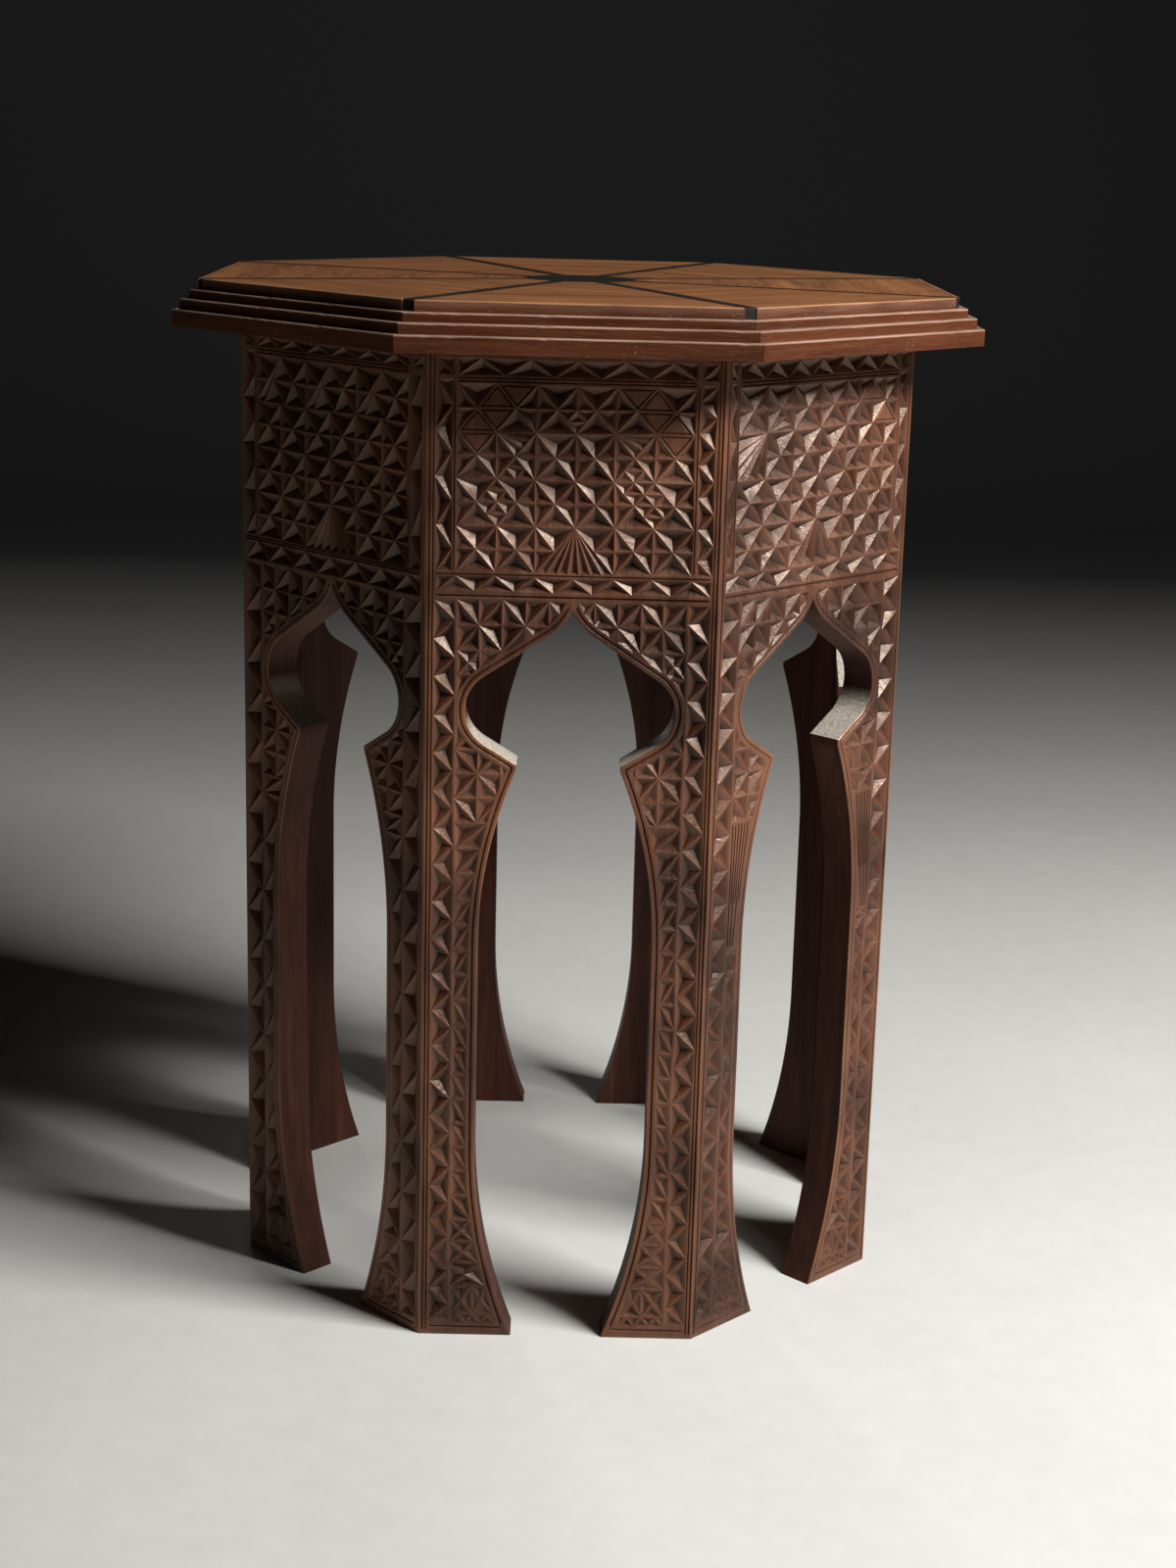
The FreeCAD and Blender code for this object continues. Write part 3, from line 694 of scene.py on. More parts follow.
def carve_side(carving, field):
    """A plainer field of stars with one tall flat triangle and a few quartered chips."""
    quartered = {(row, step) for row in (4, 5) for step in (4, 8)}
    carve_field(carving, field, tall_cells((6,), 6), quartered)


def carve_back(carving, field):
    """Two fans side by side under a row of flat rhombuses."""
    plain = {(row, step) for row in (6, 7) for step in (2, 4, 6, 8, 10)}
    quartered = {(row, step) for row in (3, 4) for step in (5, 7)}
    carve_field(carving, field, plain, quartered, fans=((4, 6), (8, 6)))


Style = namedtuple("Style", "top_period low_period left_period right_period column_period "
                            "left_edge right_edge band legs arch_line")
# Each kind of board: its edges, lower band and legs, and its arch line as (distance, width, depth)
LINED = (SCORED_EDGE, SCORED_EDGE, LINED_BAND, "cells", (2.5, 1.3, 0.9))
OPEN = (BARE_EDGE, NARROW_EDGE, OPEN_BAND, "zigzag", (2.5, 1.1, 0.8))
RAILED = (NARROW_EDGE, NARROW_EDGE, RAILED_BAND, "fluted", (2.2, 0.8, 0.45))
# Each board: the pattern of its field, the field, and the periods of its bands with its kind
BOARDS = {
    "front": (carve_front, FRONT_FIELD, Style(22.5, 18.5, 22, 14.5, 18.6, *LINED)),
    "front_right": (carve_front_right, RIGHT_FIELD, Style(18, 18, 18, 20, 18.4, *RAILED)),
    "right": (carve_side, FRONT_FIELD, Style(20, 18.5, 18, 18, 18, *LINED)),
    "back_right": (carve_front_left, LEFT_FIELD, Style(22, 20, 25, 25, 26, *OPEN)),
    "back": (carve_back, FRONT_FIELD, Style(19, 18.5, 20, 20, 18, *LINED)),
    "back_left": (carve_front_right, RIGHT_FIELD, Style(18, 18, 18, 20, 18.8, *RAILED)),
    "left": (carve_side, FRONT_FIELD, Style(22, 18.5, 16, 16, 19, *LINED)),
    "front_left": (carve_front_left, LEFT_FIELD, Style(20, 20, 26, 27, 28, *OPEN)),
}


# Board meshes

CREASE_ANGLE = math.radians(30)
OUTLINE_SPACING = 24.0
SHARPEST_CORNER = 0.4
MITRE_SLACK = 0.01
INNER_RIM_WEAR = 0.6
WELD = 1e-5


def board_outline():
    """The board's outline, counter-clockwise seen from outside, from the foot of its right edge."""
    right_foot = Vector((HALF_WIDTH, 0))
    right_head = Vector((HALF_WIDTH, BOARD_HEIGHT))
    left_head, left_foot = mirrored([right_head, right_foot])
    outline = [right_foot]
    for start, end in ((right_foot, right_head), (right_head, left_head), (left_head, left_foot)):
        outline += line_points(start, end, OUTLINE_SPACING)
    return outline + WHOLE_ARCH


def drawn_in(outline, distance):
    """A closed outline moved inwards by a small distance."""
    moved = []
    for index, spot in enumerate(outline):
        before = (spot - outline[index - 1]).normalized()
        after = (outline[(index + 1) % len(outline)] - spot).normalized()
        inward = (before + after).orthogonal().normalized()
        squareness = max(SHARPEST_CORNER, inward.dot(after.orthogonal()))
        moved.append(spot + inward * (distance / squareness))
    return moved


def behind(spot):
    """The same spot of the outline on the inner face, drawn in at the mitres."""
    share = INNER_HALF_WIDTH / HALF_WIDTH if abs(spot.x) > HALF_WIDTH - MITRE_SLACK else 1
    return Vector((spot.x * share, spot.y))


def set_values(mesh, name, values):
    mesh.attributes.new(name, "FLOAT", "POINT").data.foreach_set("value", values)


def board_mesh(name, carving):
    """A closed board: carved face, arch and mitre walls, plain inner face."""
    outline = board_outline()
    ring = carving.path(outline, EDGE_DROP, closed=True)
    inner_ring = carving.path(drawn_in(outline, EDGE_WEAR), 0, closed=True)
    rim_wear = dict.fromkeys(ring, 1.0)
    rim_wear.update(dict.fromkeys(inner_ring, INNER_RIM_WEAR))
    flat = delaunay_2d_cdt(carving.spots, carving.lines, [], 1, WELD)
    spots, edges, triangles, sources, lines_of, _ = flat
    creases = {tuple(sorted(edge)) for edge, lines in zip(edges, lines_of) if lines}
    depths = [max((carving.depths[source] for source in ids), default=0.0) for ids in sources]
    wear = [max((rim_wear.get(source, 0.0) for source in ids), default=0.0) for ids in sources]
    front_of = {source: index for index, ids in enumerate(sources) for source in ids}
    places = [(u, depth - BOARD_APOTHEM, v) for (u, v), depth in zip(spots, depths)]
    faces = [list(triangle) for triangle in triangles]
    carved_faces = len(faces)

    round_trip = [((index or len(outline)) - 1, index) for index in range(len(outline))]
    back = delaunay_2d_cdt([behind(spot) for spot in outline], round_trip, [], 1, WELD)
    back_spots, _, back_triangles, back_sources, _, _ = back
    base = len(places)
    back_of = {source: base + index for index, ids in enumerate(back_sources) for source in ids}
    places += [(u, BOARD_THICKNESS - BOARD_APOTHEM, v) for u, v in back_spots]
    faces += [[base + corner for corner in reversed(triangle)] for triangle in back_triangles]
    for before, index in round_trip:
        faces.append([front_of[ring[index]], front_of[ring[before]], back_of[before], back_of[index]])

    mesh = bpy.data.meshes.new(name)
    mesh.from_pydata([Vector(place) * MM for place in places], [], faces)
    slots = [int(index >= carved_faces) for index in range(len(faces))]
    mesh.polygons.foreach_set("material_index", slots)
    rest = [0.0] * len(back_spots)
    set_values(mesh, "cut_depth", [depth / DEEPEST_CUT for depth in depths] + rest)
    set_values(mesh, "wear", wear + rest)
    mesh.validate()
    mesh.shade_smooth()
    mesh.set_sharp_from_angle(angle=CREASE_ANGLE)
    for edge in mesh.edges:
        if tuple(sorted(edge.vertices)) in creases:
            edge.use_edge_sharp = True
    mesh.update()
    return mesh


# Finishes

WAX_TINT = (1.0, 0.8, 0.64, 1.0)
GRAIN_DRAW = 0.06
PIECE_SHIFT = (3.1, 1.7, 2.3)
# The arch walls gather dust from a little below the tips of the arch upwards
DUST_LOW = TIP_HEIGHT * MM - 0.01
DUST_FULL = TIP_HEIGHT * MM - 0.004


def stain(code):
    """A colour written as six hexadecimal digits, as the shader counts it."""
    shares = [int(code[index:index + 2], 16) / 255 for index in (0, 2, 4)]
    return tuple(x / 12.92 if x <= 0.04045 else ((x + 0.055) / 1.055) ** 2.4 for x in shares) + (1.0,)


class Wire:
    """A socket of a finish. Sums on it add Math nodes, and node() adds any other node."""

    def __init__(self, tree, socket=None):
        self.tree = tree
        self.socket = socket

    def put(self, value, target):
        """Link a wire to a socket, or set the socket to a plain value or a written colour."""
        if isinstance(value, Wire):
            self.tree.links.new(value.socket, target)
        else:
            target.default_value = stain(value) if isinstance(value, str) else value

    def node(self, kind, settings=None, inputs=None, output=0):
        made = self.tree.nodes.new(kind)
        for name, value in (settings or {}).items():
            setattr(made, name, value)
        for name, value in (inputs or {}).items():
            self.put(value, made.inputs[name])
        return Wire(self.tree, made.outputs[output])

    def sum(self, operation, first, second):
        return self.node("ShaderNodeMath", {"operation": operation}, {0: first, 1: second})

    def __add__(self, other):
        return self.sum("ADD", self, other)

    __radd__ = __add__

    def __sub__(self, other):
        return self.sum("SUBTRACT", self, other)

    def __rsub__(self, other):
        return self.sum("SUBTRACT", other, self)

    def __mul__(self, other):
        return self.sum("MULTIPLY", self, other)

    __rmul__ = __mul__

    def __pow__(self, other):
        return self.sum("POWER", self, other)

    def between(self, low, high):
        """0 below low, 1 above high, and even in between."""
        return self.node("ShaderNodeMapRange", {"clamp": True}, {0: self, 1: low, 2: high})

    def colours(self, *stops):
        """Colours along this value, each given with its place."""
        ramp = self.node("ShaderNodeValToRGB", None, {0: self})
        elements = ramp.socket.node.color_ramp.elements
        for index, (place, code) in enumerate(stops):
            stop = elements[index] if index < 2 else elements.new(place)
            stop.position = place
            stop.color = stain(code)
        return ramp

    def mix(self, low, high):
        """The colour low where this is 0, and high where it is 1."""
        return self.node("ShaderNodeMix", {"data_type": "RGBA"}, {0: self, 6: low, 7: high}, output=2)

    def noise(self, scale, detail=4.0, rough=0.55, warp=0.0):
        """Noise at this place."""
        inputs = {"Vector": self, "Scale": scale, "Detail": detail, "Roughness": rough, "Distortion": warp}
        return self.node("ShaderNodeTexNoise", None, inputs)

    def axis(self, name):
        """One of the three parts of this place or direction."""
        return self.node("ShaderNodeSeparateXYZ", None, {0: self}, output=name)

    def bump(self, depth, strength):
        """Normals of a surface that rises and falls with this value."""
        inputs = {"Strength": strength, "Distance": depth, "Height": self}
        return self.node("ShaderNodeBump", None, inputs)

    def place(self):
        """The place on the piece."""
        return self.node("ShaderNodeTexCoord", output="Object")

    def attribute(self, name):
        """A value that the mesh carries."""
        return self.node("ShaderNodeAttribute", {"attribute_name": name}, output="Fac")

    def facing_up(self):
        """1 on level faces that look up, 0 on upright ones."""
        return self.node("ShaderNodeNewGeometry", output="Normal").axis("Z")

    def grain(self, along):
        """This place drawn out along the grain, and shifted for each piece."""
        shares = [GRAIN_DRAW if axis == along else 1.0 for axis in "xyz"]
        drawn = self.node("ShaderNodeVectorMath", {"operation": "MULTIPLY"}, {0: self, 1: shares})
        piece = self.node("ShaderNodeObjectInfo", output="Random")
        shifts = {axis: piece * shift for axis, shift in enumerate(PIECE_SHIFT)}
        shift = self.node("ShaderNodeCombineXYZ", None, shifts)
        return self.node("ShaderNodeVectorMath", {"operation": "ADD"}, {0: drawn, 1: shift})


def finish(name, build, *choices):
    """A material whose main shader gets what build makes of a wire and the choices."""
    material = bpy.data.materials.new(name)
    material.use_nodes = True
    wire = Wire(material.node_tree)
    shader = material.node_tree.nodes["Principled BSDF"]
    for socket, value in build(wire, *choices).items():
        wire.put(value, shader.inputs[socket])
    return material


def carved_wood(wire):
    """Dark stained wood, waxed: rubbed lighter along the ridges, painted darker deep in the cuts as shade,
    duller in patches.
    """
    place = wire.place()
    drawn = place.grain("z")
    fibre = drawn.noise(520.0, 6.0, 0.6)
    figure = drawn.noise(70.0, 3.0, 0.5, 0.6)
    patch = place.noise(14.0, 3.0)
    knife = place.noise(330.0, 4.0, 0.6, 0.8)
    dull = place.noise(85.0, 2.0).between(0.38, 0.62)
    cut = wire.attribute("cut_depth")
    edge = wire.attribute("wear")
    tone = fibre * 0.45 + figure * 0.4 + patch * 0.75 - 0.26
    wood = tone.colours((0.30, "24130d"), (0.52, "4b2c20"), (0.78, "704733"))
    rubbed = (1 - cut.between(0.0, 0.16)) * patch.between(0.35, 0.62)
    worn = (rubbed * 0.4).mix(wood, "7c513a")
    edged = (edge ** 2.0 * (0.15 + patch.between(0.4, 0.6) * 0.45)).mix(worn, "a56d45")
    height = fibre * 0.6 + figure * 0.5 + knife * 0.9
    return {
        # Deep in the cuts the colour goes towards near black: painted shade in the recesses, added to the
        # shade the pits really cast.
        "Base Color": (cut.between(0.18, 0.85) * 0.8).mix(edged, "0e0705"),
        "Roughness": 0.24 + fibre * 0.16 + dull * 0.2,
        "Specular IOR Level": 0.55,
        "Specular Tint": WAX_TINT,
        "Normal": height.bump(0.0005, 0.6),
    }


def inner_wood(wire):
    """Plain wood inside the boards and on the sawn arch walls, with dust where a wall looks up."""
    place = wire.place()
    drawn = place.grain("z")
    fibre = drawn.noise(420.0, 7.0, 0.62)
    figure = drawn.noise(48.0, 3.0, 0.5, 0.9)
    marks = place.noise(240.0, 3.0)
    tone = fibre * 0.5 + figure * 0.55
    wood = tone.colours((0.34, "260f08"), (0.53, "442114"), (0.74, "633826"))
    specks = place.noise(800.0, 3.0).between(0.36, 0.56)
    ledge = wire.facing_up().between(0.2, 0.6) * place.axis("Z").between(DUST_LOW, DUST_FULL)
    return {
        "Base Color": (ledge * (0.45 + specks * 0.45)).mix(wood, "bdb5a6"),
        "Roughness": 0.52 + fibre * 0.2,
        "Specular IOR Level": 0.28,
        "Normal": (fibre * 0.8 + marks * 0.3).bump(0.0006, 0.5),
    }


def top_wood(wire, deep, middle, pale, worn, ledge_dust_and_highlight):
    """Polished wood of the top: pale on worn edges, black beside the strips, dusty on ledges with a painted
    highlight along them.
    """
    place = wire.place()
    drawn = place.grain("x")
    fibre = drawn.noise(430.0, 8.0, 0.66)
    figure = drawn.noise(38.0, 4.0, 0.55, 1.4)
    pores = drawn.noise(1500.0, 2.0, 0.5).between(0.58, 0.66)
    patch = place.noise(22.0, 4.0)
    wear = wire.attribute("wear")
    tone = fibre * 0.42 + figure * 0.5 + patch * 0.14
    wood = tone.colours((0.36, deep), (0.54, middle), (0.76, pale))
    pored = (pores * 0.5).mix(wood, deep)
    # Upward faces are painted paler by the last choice: partly dust, partly a painted highlight where the
    # moulding's ledges catch the light.
    ledge = wire.facing_up().between(0.5, 0.9) * (fibre * 0.6 + patch * 0.7).between(0.2, 0.8) * ledge_dust_and_highlight
    specks = place.noise(640.0, 2.0).between(0.71, 0.76) * patch.between(0.45, 0.6)
    dusted_and_highlit = (ledge + specks * 0.5).mix(pored, "b79f8f")
    rub = wear.between(0.0, 1.0) * (patch * 0.5 + fibre * 0.9).between(0.42, 0.85)
    rubbed = (rub * 0.7).mix(dusted_and_highlit, worn)
    # Darker along the seams beside the strips, where the wear value is negative.
    dark_seam = (0 - wear).between(0.0, 0.9) * (fibre * 0.7 + patch * 0.5).between(0.35, 0.7)
    height = fibre * 0.5 - pores * 0.6 + patch * 0.6
    return {
        "Base Color": (dark_seam * 0.85).mix(rubbed, "17110e"),
        "Roughness": 0.33 + fibre * 0.16 + pores * 0.1,
        "Specular IOR Level": 0.36,
        "Specular Tint": WAX_TINT,
        "Normal": height.bump(0.0004, 0.5),
    }


def black_wood(wire):
    """Black-stained strips and disc, streaked with brown where the stain is rubbed."""
    place = wire.place()
    fibre = place.grain("x").noise(380.0, 6.0, 0.6)
    patch = place.noise(60.0, 4.0)
    stained = fibre.colours((0.3, "0d0b0a"), (0.6, "1b1714"), (0.8, "2c2520"))
    rub = patch.between(0.5, 0.75) * 0.35 * fibre.between(0.4, 0.7)
    return {
        "Base Color": rub.mix(stained, "4e3a2e"),
        "Roughness": 0.58 + fibre * 0.22,
        "Specular IOR Level": 0.2,
        "Normal": fibre.bump(0.0003, 0.5),
    }


def hidden_wood(wire, along, deep, middle, pale):
    """Unpolished wood of the pieces under the top."""
    drawn = wire.place().grain(along)
    fibre = drawn.noise(360.0, 7.0, 0.62)
    figure = drawn.noise(40.0, 3.0, 0.5, 1.1)
    tone = fibre * 0.5 + figure * 0.5
    return {
        "Base Color": tone.colours((0.34, deep), (0.52, middle), (0.74, pale)),
        "Roughness": 0.62 + fibre * 0.2,
        "Specular IOR Level": 0.4,
        "Normal": fibre.bump(0.0005, 0.6),
    }


def screw_steel(wire):
    """Old steel, dulled and browned in patches."""
    tarnish = wire.place().noise(900.0, 5.0).between(0.42, 0.66)
    return {
        "Base Color": tarnish.mix("8d8a86", "4a3429"),
        "Metallic": 1 - tarnish * 0.6,
        "Roughness": 0.36 + tarnish * 0.3,
    }


# Pieces of the top

TOP_FLOOR = 507.0
CORE_APOTHEM = 182.0
FASCIA_APOTHEM = 204.0
FASCIA_TOP = TOP_FLOOR + 8.2
LOWER_APOTHEM = 200.0
LOWER_TOP = FASCIA_TOP + 5.2
UPPER_APOTHEM = 195.4
LAYER_FLOOR = LOWER_TOP + 4.5
LAYER_TOP = LAYER_FLOOR + 5.4
LAYER_APOTHEM = 191.4
STRIP_WIDTH = 6.0
STRIP_END_RECESS = 0.5
DISC_RADIUS = 29.0
DISC_SIDES = 72
SEAM = 0.12
EDGE_ROUND = 0.55
ROUND_STEPS = 3
WEAR_REACH = 0.9
STAIN_REACH = 2.0
WEDGE_CORNER = 0.02
WEDGE_STEPS = 10
WEDGE_WEAR = 0.8
WEDGE_DARK_SEAM = -1.0
WALL_WEAR = 0.4
EASE_BEND = 0.3
BOLD_EASE = 0.6
FINE_EASE = 0.4
NICK_STATIONS = 44
NICK_RARITY = 9
NICK_SIZE = 0.7
NICK_STRAY = (0.3, 1)
NICK_DROP = 0.5


def rounded_corner(before, corner, after):
    """A corner of a profile eased to a small arc."""
    way_in = (before - corner).normalized()
    way_out = (after - corner).normalized()
    half = way_in.angle(way_out) / 2
    reach = EDGE_ROUND / math.tan(half)
    centre = corner + (way_in + way_out).normalized() * (EDGE_ROUND / math.sin(half))
    start = corner + way_in * reach
    end = corner + way_out * reach
    turn = 1 if way_in.cross(way_out) < 0 else -1
    return [start] + arc_points(centre, start, end, turn, EDGE_ROUND * half / ROUND_STEPS)


def moulding_profile():
    """The moulding's section as (apothem, height) with its worn corners, and how worn each point is."""
    corners = [
        (CORE_APOTHEM, TOP_FLOOR, False),
        (FASCIA_APOTHEM, TOP_FLOOR, False),
        (FASCIA_APOTHEM, FASCIA_TOP, True),
        (LOWER_APOTHEM, FASCIA_TOP, False),
        (LOWER_APOTHEM, LOWER_TOP, True),
        (UPPER_APOTHEM, LOWER_TOP, False),
        (UPPER_APOTHEM, LAYER_FLOOR, True),
        (CORE_APOTHEM, LAYER_FLOOR, False),
    ]
    spots = [Vector(corner[:2]) for corner in corners]
    profile = []
    for index, corner in enumerate(spots):
        before = spots[index - 1]
        after = spots[(index + 1) % len(spots)]
        if corners[index][2]:
            profile.append((corner + (before - corner).normalized() * WEAR_REACH, 0.0))
            profile += [(spot, 1.0) for spot in rounded_corner(before, corner, after)]
            profile.append((corner + (after - corner).normalized() * WEAR_REACH, 0.0))
        else:
            profile.append((corner, 0.0))
    return profile


def ring_faces(count, rings):
    """Faces of a closed body of rings with the same count of places: its two ends, then its walls."""
    last = (rings - 1) * count
    faces = [list(range(count))[::-1], [last + index for index in range(count)]]
    for near in range(0, last, count):
        far = near + count
        for index in range(count):
            following = (index + 1) % count
            faces.append([near + index, near + following, far + following, far + index])
    return faces


def moulding_mesh(name, seed):
    """One mitred length of the stepped edge, its worn edges nicked here and there."""
    chance = random.Random(seed)
    profile = moulding_profile()
    places = []
    wear = []
    for station in range(NICK_STATIONS + 1):
        share = 2 * station / NICK_STATIONS - 1
        knock = chance.random() ** NICK_RARITY * NICK_SIZE if 0 < station < NICK_STATIONS else 0
        for spot, worn in profile:
            apothem = spot.x - worn * knock * chance.uniform(*NICK_STRAY)
            height = spot.y - worn * knock * NICK_DROP
            places.append(Vector((share * (apothem * MITRE_TAN - SEAM), -apothem, height)))
            wear.append(worn)
    return piece_mesh(name, places, ring_faces(len(profile), NICK_STATIONS + 1), wear)


def piece_mesh(name, places, faces, wear):
    mesh = bpy.data.meshes.new(name)
    mesh.from_pydata([place * MM for place in places], [], faces)
    set_values(mesh, "wear", wear)
    mesh.validate()
    mesh.update()
    return mesh


def slab_mesh(name, outline, worn, ease):
    """A flat piece of the top layer with eased upper edges, from its outline and each corner's wear."""
    levels = (
        (0, LAYER_FLOOR, 0.0),
        (0, LAYER_TOP - ease, WALL_WEAR),
        (ease * EASE_BEND, LAYER_TOP - ease * EASE_BEND, 1.0),
        (ease, LAYER_TOP, 1.0),
        (ease + STAIN_REACH, LAYER_TOP, 0.0),
    )
    places = []
    wear = []
    for inset, height, share in levels:
        for spot, corner in zip(drawn_in(outline, inset) if inset else outline, worn):
            places.append(Vector((spot.x, spot.y, height)))
            wear.append(share * corner)
    count = len(outline)
    mesh = piece_mesh(name, places, ring_faces(count, len(levels)), wear)
    for face in mesh.polygons[2:2 + count]:
        face.material_index = 1
    return mesh


def wedge_outline():
    """One three-cornered field of the top, cut round for the disc, in plan; and the wear along it."""
    strip_half = STRIP_WIDTH / 2 + SEAM
    half_side = LAYER_APOTHEM * MITRE_TAN - strip_half / math.cos(SIDE_TURN / 2)
    radius = DISC_RADIUS + SEAM
    spread = SIDE_TURN / 2 - math.asin(strip_half / radius)
    angles = [spread - 2 * spread * index / WEDGE_STEPS for index in range(WEDGE_STEPS + 1)]
    inner = [Vector((math.sin(angle), -math.cos(angle))) * radius for angle in angles]
    left = Vector((-half_side, -LAYER_APOTHEM))
    right = Vector((half_side, -LAYER_APOTHEM))
    beside_left = left.lerp(inner[-1], WEDGE_CORNER)
    beside_right = right.lerp(inner[0], WEDGE_CORNER)
    outline = [left, right, beside_right] + inner + [beside_left]
    return outline, [WEDGE_WEAR] * 2 + [WEDGE_DARK_SEAM] * (len(inner) + 2)


def strip_outline():
    """One dividing strip from the disc to a corner, along the x axis, in plan."""
    half = STRIP_WIDTH / 2
    end = LAYER_APOTHEM / math.cos(SIDE_TURN / 2) - half * MITRE_TAN - STRIP_END_RECESS
    radius = DISC_RADIUS + SEAM
    spread = math.asin(half / radius)
    inner = [Vector((math.cos(angle), math.sin(angle))) * radius for angle in (spread, 0, -spread)]
    return [Vector((end, -half)), Vector((end, half))] + inner


def disc_outline():
    angles = [math.tau * index / DISC_SIDES for index in range(DISC_SIDES)]
    return [Vector((math.cos(angle), math.sin(angle))) * DISC_RADIUS for angle in angles]


# Assembly

CARVE_SEED = 100
NICK_SEED = 300


def add_object(name, data):
    """A new object in the scene."""
    made = bpy.data.objects.new(name, data)
    bpy.context.scene.collection.objects.link(made)
    return made


def set_piece(name, mesh, node, slot, turn, *finishes):
    """Put a piece in the place of its CAD node."""
    piece = add_object(name, mesh)
    piece.rotation_euler = (0, 0, turn)
    for each in finishes:
        mesh.materials.append(each)
    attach(piece, "root")
    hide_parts(node)


def finish_node(node, material):
    """Give a CAD piece its finish."""
    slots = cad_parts[node].data.materials
    slots.clear()
    slots.append(material)


def carved_board(name, side, seed):
    """The board of one side with all its carving."""
    carve, field, style = BOARDS[side]
    carving = Carving(seed)
    carve(carving, Field(*field))
    carve_edges(carving, field, style)
    carve_spandrels(carving, style.legs == "fluted")
    carve_legs(carving, style)
    return board_mesh(name, carving)


def build_table():
    carved = finish("carved_wood_waxed", carved_wood)
    inner = finish("inner_wood_sawn", inner_wood)
    wedge_wood = finish("wedge_wood_polished", top_wood, "573624", "845636", "a37046", "bb9470", 0.0)
    moulding_wood = finish("moulding_wood_polished", top_wood, "2f150b", "4d2614", "673920", "b8957f", 0.55)
    black = finish("black_wood_rubbed", black_wood)
    core_wood = finish("core_wood_plain", hidden_wood, "x", "4a3426", "6d4f3a", "8a6a50")
    block_wood = finish("block_wood_plain", hidden_wood, "z", "4a2e20", "6b4630", "865e44")
    steel = finish("screw_steel_dull", screw_steel)

    wedge_plan, wedge_wear = wedge_outline()
    strip_plan = strip_outline()
    disc_plan = disc_outline()
    for index, side in enumerate(SIDE_NAMES):
        turn = index * SIDE_TURN
        number = index + 1
        name = f"carved_board_{side}"
        board = carved_board(name, side, CARVE_SEED + index)
        set_piece(name, board, f"side_board_{side}", "carved_wood", turn, carved, inner)
        name = f"stepped_moulding_{side}"
        moulding = moulding_mesh(name, NICK_SEED + index)
        set_piece(name, moulding, f"edge_moulding_{side}", "moulding_wood", turn, moulding_wood)
        name = f"wedge_{side}"
        wedge = slab_mesh(name, wedge_plan, wedge_wear, BOLD_EASE)
        set_piece(name, wedge, f"top_wedge_{side}", "wedge_wood", turn, wedge_wood, moulding_wood)
        name = f"strip_{number}"
        strip = slab_mesh(name, strip_plan, [0.0] * len(strip_plan), FINE_EASE)
        set_piece(name, strip, f"black_strip_{number}", "black_wood", CORNER_TURN + turn, black, black)
        finish_node(f"corner_block_{number}", block_wood)
    disc = slab_mesh("disc", disc_plan, [0.0] * len(disc_plan), BOLD_EASE)
    set_piece("disc", disc, "centre_disc", "black_wood", 0, black, black)
    finish_node("core_board", core_wood)
    finish_node("top_screws", steel)


# Studio

CAMERA_PLACE = Vector((-1.7, -1365.3, 611.5))
CAMERA_YAW = math.radians(0.548)
CAMERA_PITCH = math.radians(-14.738)
CAMERA_ROLL = math.radians(1.487)
CAMERA_LENS = 57.86
SENSOR = 36.0
# Floor, backdrop and lights, in metres
FLOOR_HALF_WIDTH = 7.0
FLOOR_FRONT = -6.0
FLOOR_BACK = 2.6
BACKDROP_CURVE = 1.2
BACKDROP_TOP = 5.0
CURVE_SPACING = 0.12
WORLD_STRENGTH = 0.004
# Each light: its name, its place, what it points at, its width and height, its power, its spread in degrees
LIGHTS = (
    ("key_light", (1.06, -0.67, 1.32), (0, 0, 0.25), (0.64, 0.34), 45.5, 180.0),
    ("fill_light", (-1.6, -1.8, 3.0), (0, 0, 0.3), (1.8, 1.8), 0.3, 180.0),
    ("back_light", (-0.6, 1.8, 0.45), (0, 0, 0.3), (0.2, 0.2), 0.35, 26.0),
)


def add_camera():
    """The camera, standing where the photograph was taken from."""
    data = bpy.data.cameras.new("camera")
    data.sensor_width = SENSOR
    data.lens = CAMERA_LENS
    heading = Matrix.Rotation(-CAMERA_YAW, 4, "Z")
    tilt = Matrix.Rotation(math.radians(90) + CAMERA_PITCH, 4, "X")
    roll = Matrix.Rotation(CAMERA_ROLL, 4, "Z")
    camera = add_object("camera", data)
    camera.matrix_world = Matrix.Translation(CAMERA_PLACE * MM) @ heading @ tilt @ roll
    bpy.context.scene.camera = camera


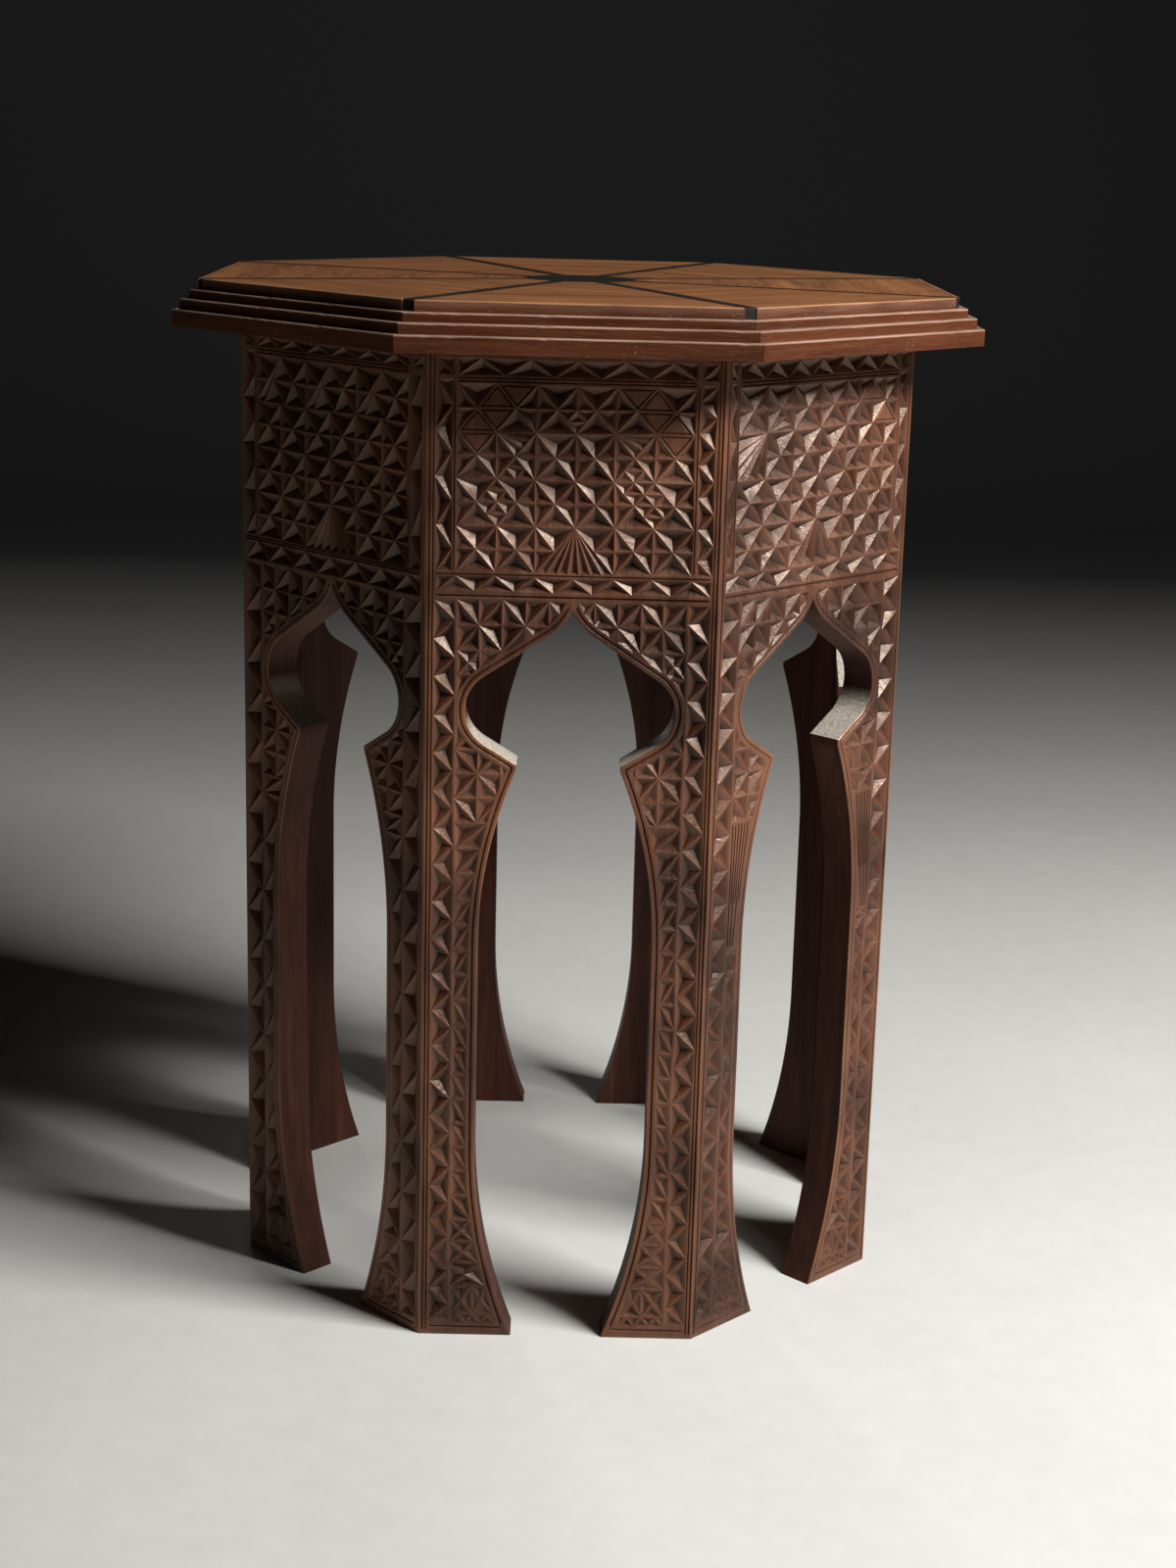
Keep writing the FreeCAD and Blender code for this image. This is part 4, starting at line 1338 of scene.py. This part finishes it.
def floor_paint(wire):
    """Plain pale paint, faintly mottled, with painted shade that darkens it towards the backdrop."""
    place = wire.place()
    mottle = place.noise(3.0, 5.0) * 0.6 + place.noise(60.0, 3.0) * 0.4
    pale = mottle.colours((0.35, "cecdc8"), (0.65, "d8d6d1"))
    return {
        # Painted shade: the floor darkens towards the back and the backdrop, standing in for the light
        # falling off there.
        "Base Color": place.axis("Y").between(0.55, 2.2).mix(pale, "4b4949"),
        "Roughness": 0.85,
        "Specular IOR Level": 0.06,
    }


def add_studio():
    """A pale floor that curves up into a backdrop, a soft main light, a faint fill and one behind."""
    backdrop = FLOOR_BACK + BACKDROP_CURVE
    centre = Vector((FLOOR_BACK, BACKDROP_CURVE))
    profile = [Vector((FLOOR_FRONT, 0.0)), Vector((FLOOR_BACK, 0.0))]
    profile += arc_points(centre, profile[-1], Vector((backdrop, BACKDROP_CURVE)), 1, CURVE_SPACING)
    profile.append(Vector((backdrop, BACKDROP_TOP)))
    places = [(x, spot.x, spot.y) for x in (-FLOOR_HALF_WIDTH, FLOOR_HALF_WIDTH) for spot in profile]
    count = len(profile)
    faces = [(index, count + index, count + index + 1, index + 1) for index in range(count - 1)]
    mesh = bpy.data.meshes.new("studio_floor")
    mesh.from_pydata(places, [], faces)
    mesh.materials.append(finish("studio_floor", floor_paint))
    mesh.shade_smooth()
    floor = add_object("studio_floor", mesh)
    for light in LIGHTS:
        add_light(*light)

    world = bpy.data.worlds.new("studio")
    world.use_nodes = True
    bpy.context.scene.world = world
    background = world.node_tree.nodes["Background"]
    background.inputs["Color"].default_value = (1.0, 1.0, 1.0, 1.0)
    background.inputs["Strength"].default_value = WORLD_STRENGTH


def add_light(name, place, target, size, power, spread):
    """A soft light that points at a target and fans out by its spread."""
    data = bpy.data.lights.new(name, "AREA")
    data.shape = "RECTANGLE"
    data.size, data.size_y = size
    data.energy = power
    data.spread = math.radians(spread)
    light = add_object(name, data)
    light.location = place
    light.rotation_euler = (Vector(target) - Vector(place)).to_track_quat("-Z", "Y").to_euler()


build_table()
add_studio()
add_camera()
bpy.context.scene.view_settings.view_transform = "Standard"
